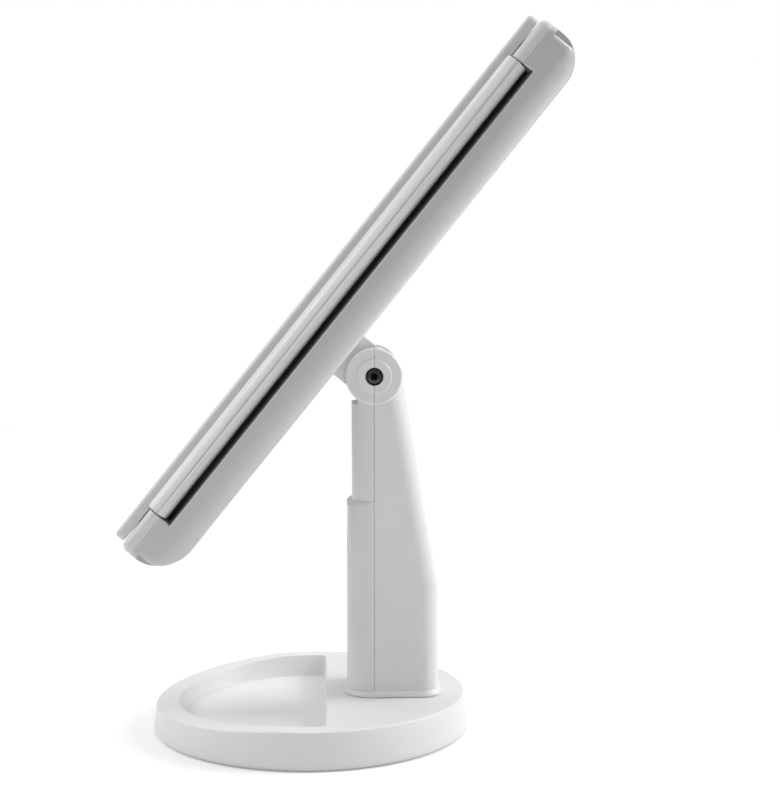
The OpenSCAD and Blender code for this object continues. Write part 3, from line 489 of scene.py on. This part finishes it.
def rim_height(y):
    """Height of the base's top: flat at the rear, then a slope with a soft start."""
    past = -y - RIM_START
    soft = 3.0
    ramp = np.where(past > soft, past, (past + soft) ** 2 / (4 * soft))
    return BASE_H - math.tan(RIM_SLOPE) * np.where(past < -soft, 0.0, ramp)


def flat_at(z):
    """A height that is the same everywhere."""
    return lambda y: z + 0.0 * y


def below_rim(drop):
    """A height a little below the rim's slope."""
    return lambda y: rim_height(y) - drop


def up_wall(share):
    """A height a share of the way up the tray's wall."""
    return lambda y: TRAY_FLOOR_Z + 1.0 + share * (rim_height(y) - 1.7 - TRAY_FLOOR_Z)


def tray_ring(grow, corner, height):
    """A ring on the tray's wall, grown outwards. The arc leans in as it goes down."""
    tray_r = BASE_R - BASE_DRAFT - RIM_W + grow

    def lean(z):
        return TRAY_DRAFT * (1 - (z - TRAY_FLOOR_Z) / (BASE_H - TRAY_FLOOR_Z))

    rear = lean(height(0.0))
    flat = tray_outline(tray_r - rear, TRAY_WALL_Y + grow, corner)
    z = height(flat[:, 1])
    flat[:ARC_POINTS] *= ((tray_r - lean(z[:ARC_POINTS])) / (tray_r - rear))[:, None]
    return np.column_stack([flat, z])


def side_ring(share, inset, height):
    """A ring a share of the way from the tray's edge to the base's leaning side wall.

    A ray from the tray's middle m along unit w meets the circle of radius r at the
    distance -m.w + sqrt((m.w)^2 - m.m + r^2).
    """
    edge = tray_ring(EDGE_R, TRAY_CORNER + 0.25, below_rim(0.0))[:, :2]
    way = edge - TRAY_MIDDLE
    way = way / np.linalg.norm(way, axis=1, keepdims=True)
    along = way @ TRAY_MIDDLE
    flat = edge
    for _ in range(3):
        radius = BASE_R - inset - BASE_DRAFT * height(flat[:, 1]) / BASE_H
        reach = -along + np.sqrt(along ** 2 - TRAY_MIDDLE @ TRAY_MIDDLE + radius ** 2)
        flat = edge * (1 - share) + (TRAY_MIDDLE + way * reach[:, None]) * share
    return np.column_stack([flat, height(flat[:, 1])])


def drawn_in(ring, share):
    """A ring shrunk towards the tray's middle, at its own height."""
    return np.column_stack([TRAY_MIDDLE + (ring[:, :2] - TRAY_MIDDLE) * share, ring[:, 2]])


def base_rings():
    """The base's stack of rings, from the tray floor's middle to the underside's middle."""
    floor_edge = tray_ring(-FLOOR_R, 1.1, flat_at(TRAY_FLOOR_Z))
    rings = [drawn_in(floor_edge, share) for share in (0.02, 0.5, 0.97)]
    for a in np.radians([0, 30, 60, 85]):
        rings.append(tray_ring(-FLOOR_R * (1 - math.sin(a)), 1.1 + 0.4 * math.sin(a),
                               flat_at(TRAY_FLOOR_Z + FLOOR_R * (1 - math.cos(a)))))
    rings += [tray_ring(0.0, TRAY_CORNER, up_wall(share)) for share in (0.05, 0.35, 0.65, 0.95)]
    for a in np.radians([0, 30, 60, 90]):
        rings.append(tray_ring(EDGE_R * (1 - math.cos(a)), TRAY_CORNER + 0.25 * math.sin(a),
                               below_rim(EDGE_R * (1 - math.sin(a)))))
    rings += [side_ring(share, RIM_R, below_rim(0.0)) for share in (0.04, 0.35, 0.65, 0.96)]
    for a in np.radians([90, 70, 50, 30, 10]):
        rings.append(side_ring(1.0, RIM_R * (1 - math.cos(a)),
                               below_rim(RIM_R * (1 - math.sin(a)))))
    outside = ((0.0, 9.0), (0.0, 5.0), (0.0, 2.0), (0.15, 1.3), (0.7, BASE_LIFT))
    inside = ((BASE_WALL, BASE_LIFT), (BASE_WALL, 5.0))
    rings += [side_ring(1.0, inset, flat_at(z)) for inset, z in outside + inside]
    rings += [side_ring(share, BASE_WALL, below_rim(BASE_WALL)) for share in (1.0, 0.5)]
    under = tray_ring(BASE_WALL, 3.0, flat_at(TRAY_FLOOR_Z - BASE_WALL))
    rings += [tray_ring(BASE_WALL, 3.0, below_rim(BASE_WALL)), under, drawn_in(under, 0.02)]
    return np.array(rings)


dress(make("base", base_rings()), "white_shell", "white_shell", "stand", "base_tray")

# %% [markdown]
# ## Foot, door and screw
# The stem's sections are rectangles with large round corners. The collar is a solid
# stack of them: a thin undercut, then a skirt that leans in up to the stem's wall. The
# battery door is a stack of open sections, each an outer path and the same path back at
# the wall's thickness; its front face slopes back to the stem at its top. The pivot's
# cap screw is turned on a lathe.

# %% Foot, door and screw


def stem_outline(half_w, front, rear, r_front, r_rear, z):
    """A closed ring (x, y, z) with its own radius at the front and the rear corners."""
    flat = rounded_rect(half_w, front, rear, r_front, r_rear, 12)
    return np.column_stack([flat, np.full(len(flat), z)])


def collar_rings(grow=1.3):
    """A thin undercut at the foot, then a skirt that leans in up to the stem's wall."""
    stack = [(BASE_H, 0.5), (BASE_H + 0.22, 0.5), (BASE_H + 0.3, 0.05), (BASE_H + 0.45, 0.0),
             (BASE_H + 0.7, 0.05), (FOOT_Z - 0.6, 0.85), (FOOT_Z - 0.25, 1.05), (FOOT_Z, grow),
             (FOOT_Z, grow + 0.8)]
    rings = []
    for z, inset in stack:
        out = grow - inset
        rings.append(stem_outline(HALF_STEM + out, DOOR_Y - out, STEM_REAR + out,
                                  FRONT_ROUND + out, REAR_ROUND + out, z))
    return np.array(rings)


def door_section(front, wall, z):
    """An open U: half a stem outline in front of the seam, and its inner path back."""
    def path(inset):
        corner = FRONT_ROUND - inset
        angle = np.linspace(0, np.pi / 2, 13)
        arc = np.stack([HALF_STEM - inset - corner + corner * np.cos(angle),
                        front + inset + corner - corner * np.sin(angle)], -1)
        right = np.concatenate([[(HALF_STEM - inset, DOOR_BACK)], arc])
        return np.concatenate([right, right[::-1] * (-1, 1)])

    flat = np.concatenate([path(0.0), path(wall)[::-1]])
    return np.column_stack([flat, np.full(len(flat), z)])


def door_piece():
    """The battery door: straight sections, then the sloping top; grooves for a thumb."""
    stack = [(DOOR_Y, FOOT_Z + 0.12), (DOOR_Y, 40.0), (DOOR_Y, 70.0), (DOOR_Y, DOOR_TOP - 2.1),
             (DOOR_Y + 0.5, DOOR_TOP - 1.45), (STEM_FRONT - 0.1, DOOR_TOP - 0.35),
             (STEM_FRONT, DOOR_TOP)]
    piece = make("door_skin", np.array([door_section(front, 1.5, z) for front, z in stack]))
    grooves = []
    for low in [DOOR_TOP - 14.0 - 3.0 * n for n in range(4)]:
        ends = ((8.0, low), (7.8, low + 1.2))
        grooves.append(np.array([stem_outline(half_w, DOOR_Y - 1.0, DOOR_Y + 0.5, 0.3, 0.3, z)
                                 for half_w, z in ends]))
    return combine(piece, make("grooves", *grooves), "DIFFERENCE")


def turned(x, radii, steps=64):
    """Rings of a turned shape on the pivot axis, one for each (x, radius)."""
    angle = np.linspace(0, 2 * np.pi, steps, endpoint=False)
    return np.array([np.stack([np.full(steps, at), PIVOT_Y + r * np.cos(angle),
                               PIVOT_Z + r * np.sin(angle)], -1) for at, r in zip(x, radii)])


def screw_piece():
    """A cap screw: shank, flange, head with a chamfer and a shallow dish, hexagon socket."""
    seat, head = 13.9, 17.9
    body = turned((-17.1, seat, seat, seat + 0.6, seat + 0.6,
                   head - 0.4, head - 0.1, head, head, head - 0.3),
                  (2.0, 2.0, 3.5, 3.5, 2.85, 2.85, 2.6, 2.4, 2.2, 1.9))
    socket = turned((head - 3.2, head - 2.2, head + 1), (0.1, 1.6, 1.6), 6)
    return combine(make("cap_screw", body), make("socket", socket), "DIFFERENCE")


dress(make("collar", collar_rings()), "white_shell", "white_shell", "stand", "stem_collar")
dress(door_piece(), "white_shell", "white_shell", "door", "battery_door", edge=0.08)
dress(screw_piece(), "black_steel", "black_steel", "stand", "pivot_screw")

# %% [markdown]
# ## Rear housing
# Seen from the side, the housing's outline has a large round corner at the top of the
# back and a larger one at the bottom. The rings are that outline, stacked across the
# head. Towards each side they are drawn in along their own normals by r(1 - sin a), where
# r grows smoothly from the ends, which are nearly square, to the back, which is soft.

# %% Rear housing
FAR = 95.0  # clear of the head's side, for cutting


def pillow(inset, back_inset, front=SEAM_Y, steps=12):
    """Rings across the head, from the left side to the right, taken in by a wall.

    With a point's unit normal n, the side's radius is r = end + (side - end) n_y^2. At
    angle a the ring's x is half_w - r(1 - cos a), and it is drawn in by r(1 - sin a).
    """
    half_w, low, high = HALF_HEAD - inset, HEAD_BOTTOM + inset, HEAD_TOP - inset
    back, r_low, r_high = BACK_Y - back_inset, BOTTOM_R - inset, BACK_R - inset
    turn = [(math.cos(a), math.sin(a)) for a in np.radians(np.linspace(90, 0, 13))]
    end_y = np.linspace(front, back - BOTTOM_R, 5)[:-1]
    points = [(front, high - SEAM_SOFT, 0.0, 1.0), (front + SEAM_SOFT, high, 0.0, 1.0)]
    points += [(y, high, 0.0, 1.0) for y in end_y[1:]]
    points += [(back - r_high + r_high * c, high - r_high + r_high * s, c, s) for c, s in turn]
    points += [(back, z, 1.0, 0.0) for z in np.linspace(high - r_high, low + r_low, 10)[1:-1]]
    points += [(back - r_low + r_low * c, low + r_low - r_low * s, c, -s) for c, s in turn[::-1]]
    points += [(y, low, 0.0, -1.0) for y in end_y[:0:-1]]
    points += [(front + SEAM_SOFT, low, 0.0, -1.0), (front, low + SEAM_SOFT, 0.0, -1.0)]
    y, z, normal_y, normal_z = np.array(points).T
    end_r, side_r = CORNER_R - inset, SIDE_R - inset
    radius = end_r + (side_r - end_r) * normal_y ** 2
    rings = []
    for a in np.linspace(0, np.pi / 2, steps + 1):
        draw, x = radius * (1 - math.sin(a)), half_w - radius * (1 - math.cos(a))
        back_off = np.where(y == front, np.clip(SEAM_SOFT - (half_w - x), 0.0, SEAM_SOFT), 0.0)
        rings.append(np.stack([x, y - normal_y * draw + back_off, z - normal_z * draw], -1))
    left = [ring * (-1, 1, 1) for ring in rings]
    return np.array(left + rings[::-1])


def box(x0, x1, y0, y1, z0, z1, corner=0.05):
    """A plate given by its six limits, for cutting."""
    return plate((x1 - x0) / 2, z0, z1, corner, [(y0, 0.0), (y1, 0.0)], (x0 + x1) / 2)


def roll_rooms(grow, y1, flare=0.0):
    """The two spaces beside the head for the hinge rolls, widened where they meet its side."""
    low, high, back = HEAD_UP - CUT_L / 2 - grow, HEAD_UP + CUT_L / 2 + grow, y1 + grow
    stack = ((CUT_X - grow, 0.0), (HALF_HEAD - flare, 0.0),
             (HALF_HEAD, flare), (FAR, flare + 1e-3))
    return [np.array([[(side * x, FRONT_Y - 1, low - wide), (side * x, back + wide, low - wide),
                       (side * x, back + wide, high + wide), (side * x, FRONT_Y - 1, high + wide)]
                      for x, wide in stack]) for side in (1, -1)]


def end_step(side, end, depth=2.1, width=3.0, r=2.4):
    """The step beside a hinge boss: a slot whose inner floor ends in a rounded side edge."""
    angle = np.linspace(np.pi / 2, 0, 9)
    edge = np.stack([-r + r * np.cos(angle), -r + r * np.sin(angle)], -1)
    flat = np.concatenate([[(-width, 0.0)], edge, [(5.0, -r), (5.0, 20.0), (-width, 20.0)]])
    x = side * (HALF_HEAD + flat[:, 0])
    z = (HEAD_TOP - depth + flat[:, 1]) if end > 0 else (HEAD_BOTTOM + depth - flat[:, 1])
    return np.array([np.stack([x, np.full(len(x), y), z], -1) for y in (AXIS_Y + 4.1, 5.0)])


def head_solid(name, *lofts):
    """A mesh of lofts given in the head's frame."""
    return make(name, *[to_head(rings) for rings in lofts])


def housing_piece():
    """The rear housing: the pillow less its hollow, the roll rooms, steps and neck hole."""
    ends = [box(-FAR, FAR, SEAM_Y - 2, 0, HEAD_BOTTOM - 10, HEAD_BOTTOM + END_WALL),
            box(-FAR, FAR, SEAM_Y - 2, 0, HEAD_TOP - END_WALL, HEAD_TOP + 10)]
    hollow = head_solid("hollow", pillow(HEAD_WALL, HEAD_BACK_WALL, SEAM_Y - 1.0))
    combine(hollow, head_solid("rooms", *roll_rooms(HEAD_WALL, CUT_Y)), "DIFFERENCE")
    combine(hollow, head_solid("ends", *ends), "DIFFERENCE")
    piece = head_solid("housing", pillow(0.0, 0.0))
    combine(piece, hollow, "DIFFERENCE")
    combine(piece, head_solid("rooms", *roll_rooms(0.0, CUT_Y, 0.6)), "DIFFERENCE")
    steps = [end_step(side, end) for side in (1, -1) for end in (1, -1)]
    combine(piece, head_solid("steps", *steps), "DIFFERENCE")
    hole = box(-NECK_HOLE_X, NECK_HOLE_X, -30, 0, -NECK_HOLE_Z, NECK_HOLE_Z)
    return combine(piece, head_solid("neck_hole", hole), "DIFFERENCE")


# The housing takes the white shell darkened: painted shade.
dress(housing_piece(), "white_head_painted_shade", "white_shell", "head", "rear_housing", edge=0.35)

# %% [markdown]
# ## Front frame
# The frame is a shallow plate with a wide round on its front edge. It is cut for the
# centre mirror, the light slots, the button, the hinge rolls and the hinge pins, which
# break out through its ends. Its sides stand a little in from the housing's, so that the
# seam between them catches the light. The neck plate, the centre glass and the light
# windows are plates as well.

# %% Front frame


def frame_piece():
    """The front frame, cut in turn by everything that sits in it."""
    body = plate(HALF_HEAD - FRAME_IN, HEAD_BOTTOM, HEAD_TOP, CORNER_R,
                 levels(FRONT_Y, SEAM_Y, AXIS_BACK, 0.05, 8))
    piece = head_solid("frame", body)
    recess = plate(RECESS_X, RECESS_LOW, RECESS_HIGH, 3.0,
                   [(FRONT_Y - 1, 0.0), (SEAM_Y - 2.0, 0.0)])
    combine(piece, head_solid("recess", recess), "DIFFERENCE")
    combine(piece, head_solid("rooms", *roll_rooms(0.0, SEAM_Y + 5)), "DIFFERENCE")
    holes = [box(side * WINDOW_X - 3, side * WINDOW_X + 3, FRONT_Y, SEAM_Y + 1,
                 RECESS_LOW + 10, RECESS_HIGH - 10, 1.0) for side in (1, -1)]
    holes.append(tube(0, 0, BUTTON_Z, BUTTON_HOLE_R, "y", FRONT_Y - 1, SEAM_Y + 1))
    pins = ((HEAD_BOTTOM - 5, HEAD_BOTTOM + PIN_HOLE_L), (HEAD_TOP - PIN_HOLE_L, HEAD_TOP + 5))
    holes += [tube(side * AXIS_X, AXIS_Y, 0, PIN_HOLE_R, "z", *ends)
              for side in (1, -1) for ends in pins]
    return combine(piece, head_solid("holes", *holes), "DIFFERENCE")


# The frame takes the white shell darkened: painted shade.
dress(frame_piece(), "white_frame_painted_shade", "white_shell", "head", "front_frame", edge=0.3)

neck_plate = plate(23.0, -20.5, 24.5, 6.0,
                   levels(BACK_Y + NECK_PLATE_T, BACK_Y - 0.6, 0.3, 0.0, 3))
centre_glass = plate(64.4, RECESS_LOW + PANE_GAP, RECESS_HIGH - PANE_GAP, 1.0,
                     levels(PANE_FRONT, SEAM_Y - 2.6, 0.35, 0.15, 2))
windows = [plate(5.0, RECESS_LOW + PANE_GAP, RECESS_HIGH - PANE_GAP, 2.5,
                 levels(PANE_FRONT, SEAM_Y - 2.0, 0.5, 0.15, 4), side * WINDOW_X)
           for side in (1, -1)]
dress(head_solid("neck_plate_skin", neck_plate),
      "white_shell", "white_shell", "head", "neck_plate")
dress(head_solid("centre_glass", centre_glass),
      "silvered_glass", "silvered_glass", "head", "centre_mirror")
dress(head_solid("windows", *windows),
      "frosted_window", "frosted_window", "head", "light_windows")

# %% [markdown]
# ## Wings
# Each wing is a thin tray that holds its glass, joined by a short web to a half roll
# that turns on the hinge pin. A second half closes the roll from behind, and the line
# where they meet shows on the head's side.

# %% Wings


def half_roll(front):
    """A half ring in section, drawn along the hinge: outer arc one way, bore arc back."""
    start = math.pi if front else 0.0
    gap = 0.06
    angle = np.linspace(start, start + math.pi, 25)
    arc = np.stack([np.cos(angle), np.sin(angle)], -1)
    flat = np.concatenate([arc * ROLL_R, arc[::-1] * BORE_R])
    y = np.where(np.abs(flat[:, 1]) < gap, -gap if front else gap, flat[:, 1])
    return np.array([np.stack([flat[:, 0], y, np.full(len(flat), z)], -1)
                     for z in (-ROLL_L / 2, ROLL_L / 2)])


def panes(split):
    """Lower and upper ends of the wing's panes."""
    end = WING_L / 2 - 3.0
    return [(-end, -2.0), (2.0, end)] if split else [(-end, end)]


def wing_piece(name, side, split):
    """Panel, web and front half roll joined, with a pocket cut for each pane."""
    body = plate(PANEL_HALF, -WING_L / 2, WING_L / 2, 2.5,
                 levels(PANEL_BACK - WING_T, PANEL_BACK, 1.4, 0.2, 6), PANEL_MIDDLE)
    piece = make(name, to_wing(body, side))
    web = box(-5.4, -1.0, PANEL_BACK - 1.2, PANEL_BACK - 0.05, -ROLL_L / 2 + 0.1, ROLL_L / 2 - 0.1)
    combine(piece, make("web", to_wing(web, side)), "UNION")
    combine(piece, make("roll", to_wing(half_roll(True), side)), "UNION")
    depths = [(PANEL_BACK - 2.7, 0.0), (PANEL_BACK + 1, 0.0)]
    pockets = [plate(PANEL_HALF - 3.0, low, high, 1.5, depths, PANEL_MIDDLE)
               for low, high in panes(split)]
    pockets = [to_wing(rings, side) for rings in pockets]
    return combine(piece, make("pockets", *pockets), "DIFFERENCE")


def pane_piece(name, side, low, high):
    """A pane of glass with ground edges, lying in its pocket."""
    rings = plate(PANEL_HALF - 3.2, low + PANE_GAP, high - PANE_GAP, 1.5,
                  levels(PANEL_BACK - 2.1, PANEL_BACK - 0.1, 0.15, 0.35, 2), PANEL_MIDDLE)
    return make(name, to_wing(rings, side))


def paint_roll_sheen(panel, side):
    """Give the half roll's faces the roll's brighter finish, a painted highlight: those within its
    radius of the axis.
    """
    panel.data.materials.append(finishes["white_roll_painted_sheen"])
    low, high = to_wing([[0, 0, -ROLL_L / 2], [0, 0, ROLL_L / 2]], side)
    way = (high - low) / np.linalg.norm(high - low)
    for face in panel.data.polygons:
        gap = np.array(face.center) / MM - low
        if np.linalg.norm(gap - way * (gap @ way)) < ROLL_R + 0.05:
            face.material_index = 1


for word, side, split in (("right", 1, False), ("left", -1, True)):
    body = word + "_wing"
    panel = wing_piece(word + "_panel", side, split)
    # The wing panel takes the frame's darker finish: painted shade.
    dress(panel, "white_frame_painted_shade", "white_shell", body, word + "_wing_shell", edge=0.15)
    # The half rolls take the brighter roll finish: painted highlight and reflection streaks.
    paint_roll_sheen(panel, side)
    dress(make(word + "_roll", to_wing(half_roll(False), side)),
          "white_roll_painted_sheen", "white_shell", body, word + "_roll_cover", edge=0.15)
    names = (word + "_lower", word + "_upper") if split else (word + "_wing",)
    for name, (low, high) in zip(names, panes(split)):
        dress(pane_piece(name + "_glass", side, low, high),
              "silvered_glass", "silvered_glass", body, name + "_mirror")

# %% [markdown]
# ## Parts that keep their CAD shape
# The stem's shells, the neck bracket, the button, the base's plate and pad, and
# everything inside are right as they are. Their meshes come as loose triangles. A small
# node tree joins them and shades them smooth up to 30 degrees, and a bevel softens the
# moulded edges that can be seen.

# %% Smooth shading and finishes for CAD nodes
JOIN_WITHIN, CREASE = 2e-6, math.radians(30)


def smooth_tree():
    """Geometry nodes: merge loose points, shade smooth, keep creases sharp."""
    tree = bpy.data.node_groups.new("join_and_smooth", "GeometryNodeTree")
    tree.interface.new_socket("Geometry", in_out="INPUT", socket_type="NodeSocketGeometry")
    tree.interface.new_socket("Geometry", in_out="OUTPUT", socket_type="NodeSocketGeometry")
    start, end = tree.nodes.new("NodeGroupInput"), tree.nodes.new("NodeGroupOutput")
    merge = tree.nodes.new("GeometryNodeMergeByDistance")
    merge.inputs["Distance"].default_value = JOIN_WITHIN
    faces = tree.nodes.new("GeometryNodeSetShadeSmooth")
    edges = tree.nodes.new("GeometryNodeSetShadeSmooth")
    edges.domain = "EDGE"
    edges.inputs["Shade Smooth"].default_value = False
    angle = tree.nodes.new("GeometryNodeInputMeshEdgeAngle")
    sharp = tree.nodes.new("FunctionNodeCompare")
    sharp.operation = "GREATER_THAN"
    sharp.inputs["B"].default_value = CREASE
    tree.links.new(start.outputs["Geometry"], merge.inputs["Geometry"])
    tree.links.new(merge.outputs["Geometry"], faces.inputs["Geometry"])
    tree.links.new(faces.outputs["Geometry"], edges.inputs["Geometry"])
    tree.links.new(angle.outputs["Unsigned Angle"], sharp.inputs["A"])
    tree.links.new(sharp.outputs["Result"], edges.inputs["Selection"])
    tree.links.new(edges.outputs["Geometry"], end.inputs["Geometry"])
    return tree


SMOOTH = smooth_tree()
slot_of = {entry["node"]: entry["material_slot"] for entry in frame["record"]["subparts"]}
bevels = {"stem_rear_shell": 0.1, "stem_front_shell": 0.1, "neck_bracket": 0.4,
          "power_button": 0.2, "base_plate": 0.2}
for name, piece in nodes.items():
    piece.data.materials.clear()
    piece.data.materials.append(finishes[slot_of[name]])
    piece.modifiers.new("smooth", "NODES").node_group = SMOOTH
    if name in bevels:
        soft_edges(piece, bevels[name])
print("dressed", len(nodes), "CAD nodes in", len(finishes), "finishes")

# %% [markdown]
# ## Studio
# The photograph is a plain white studio. The world shows white to the camera, and the
# floor is lifted for the camera and in reflections, while the light on the object stays
# at a lower level, so that shaded white plastic keeps its greys. The floor still takes
# the contact shadow.

# %% Floor
FLOOR_TONE, FLOOR_LIFT = 0.80, 0.24
FLOOR_R_M, FLOOR_Z_M = 1.3, -0.0002


def floor_material():
    """White floor: diffuse for all rays, lifted by emission for the camera and gloss."""
    material = bpy.data.materials.new("studio_floor")
    material.use_nodes = True
    tree = material.node_tree
    tree.nodes.clear()
    out = tree.nodes.new("ShaderNodeOutputMaterial")
    paint = tree.nodes.new("ShaderNodeBsdfDiffuse")
    paint.inputs["Color"].default_value = (FLOOR_TONE, FLOOR_TONE, FLOOR_TONE, 1.0)
    lift = tree.nodes.new("ShaderNodeEmission")
    lift.inputs["Strength"].default_value = FLOOR_LIFT
    both = tree.nodes.new("ShaderNodeAddShader")
    pick = tree.nodes.new("ShaderNodeMixShader")
    rays = tree.nodes.new("ShaderNodeLightPath")
    seen = tree.nodes.new("ShaderNodeMath")
    seen.operation = "MAXIMUM"
    tree.links.new(rays.outputs["Is Camera Ray"], seen.inputs[0])
    tree.links.new(rays.outputs["Is Glossy Ray"], seen.inputs[1])
    tree.links.new(paint.outputs["BSDF"], both.inputs[0])
    tree.links.new(lift.outputs["Emission"], both.inputs[1])
    tree.links.new(seen.outputs["Value"], pick.inputs["Fac"])
    tree.links.new(paint.outputs["BSDF"], pick.inputs[1])
    tree.links.new(both.outputs["Shader"], pick.inputs[2])
    tree.links.new(pick.outputs["Shader"], out.inputs["Surface"])
    return material


def disc(name, radius, height, count=128):
    """A flat round sheet: one ring of points at a radius, closed by a single face."""
    angle = np.linspace(0, 2 * np.pi, count, endpoint=False)
    points = np.stack([radius * np.cos(angle), radius * np.sin(angle), np.full(count, height)], 1)
    mesh = bpy.data.meshes.new(name)
    mesh.from_pydata(points.tolist(), [], [list(range(count))])
    made = bpy.data.objects.new(name, mesh)
    bpy.context.scene.collection.objects.link(made)
    return made


floor = disc("floor", FLOOR_R_M, FLOOR_Z_M)
floor.data.materials.append(floor_material())
floor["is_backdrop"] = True

# %% World and lamps


def world_light(low, high, shade):
    """The world: light that grows with height and fades towards the camera's side.

    A direction's level is (low + high * z) * (1 - shade * x), with z and x no less than
    zero. The camera itself sees plain white.
    """
    world = bpy.data.worlds.new("studio")
    bpy.context.scene.world = world
    world.use_nodes = True
    tree = world.node_tree
    tree.nodes.clear()
    out = tree.nodes.new("ShaderNodeOutputWorld")
    way = tree.nodes.new("ShaderNodeSeparateXYZ")
    tree.links.new(tree.nodes.new("ShaderNodeTexCoord").outputs["Generated"], way.inputs["Vector"])
    rise = ranged(tree, way.outputs["Z"], 0.0, 1.0, low, low + high)
    fade = ranged(tree, way.outputs["X"], 0.0, 1.0, 1.0, 1.0 - shade)
    level = tree.nodes.new("ShaderNodeMath")
    level.operation = "MULTIPLY"
    tree.links.new(rise, level.inputs[0])
    tree.links.new(fade, level.inputs[1])
    glow = tree.nodes.new("ShaderNodeBackground")
    white = tree.nodes.new("ShaderNodeBackground")
    for background in (glow, white):
        background.inputs["Color"].default_value = (1.0, 1.0, 1.0, 1.0)
    tree.links.new(level.outputs["Value"], glow.inputs["Strength"])
    pick = tree.nodes.new("ShaderNodeMixShader")
    rays = tree.nodes.new("ShaderNodeLightPath")
    tree.links.new(rays.outputs["Is Camera Ray"], pick.inputs["Fac"])
    tree.links.new(glow.outputs["Background"], pick.inputs[1])
    tree.links.new(white.outputs["Background"], pick.inputs[2])
    tree.links.new(pick.outputs["Shader"], out.inputs["Surface"])


def softbox(name, at, aim, size, power):
    """A square area lamp at a place, turned to face a point."""
    data = bpy.data.lights.new(name, "AREA")
    data.size = size
    data.energy = power
    lamp = bpy.data.objects.new(name, data)
    lamp.location = at
    way = np.array(aim) - np.array(at)
    way = way / np.linalg.norm(way)
    lamp.rotation_euler = (math.acos(-way[2]), 0.0, math.atan2(way[1], way[0]) - math.pi / 2)
    bpy.context.scene.collection.objects.link(lamp)


world_light(low=0.33, high=0.87, shade=0.7)
softbox("lamp_rear", (-0.1, 1.4, 0.95), aim=(0.0, 0.0, 0.1), size=0.8, power=15.5)
softbox("lamp_front", (0.3, -1.2, 1.0), aim=(0.0, 0.0, 0.15), size=0.6, power=6.2)
print("studio: floor, world and", len(bpy.data.lights), "lamps")

# %% [markdown]
# ## Finish
# The box around the visual model is found. The visual model has to stay inside the CAD
# model's box.

# %% Bounds of the visual model
import json

low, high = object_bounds()
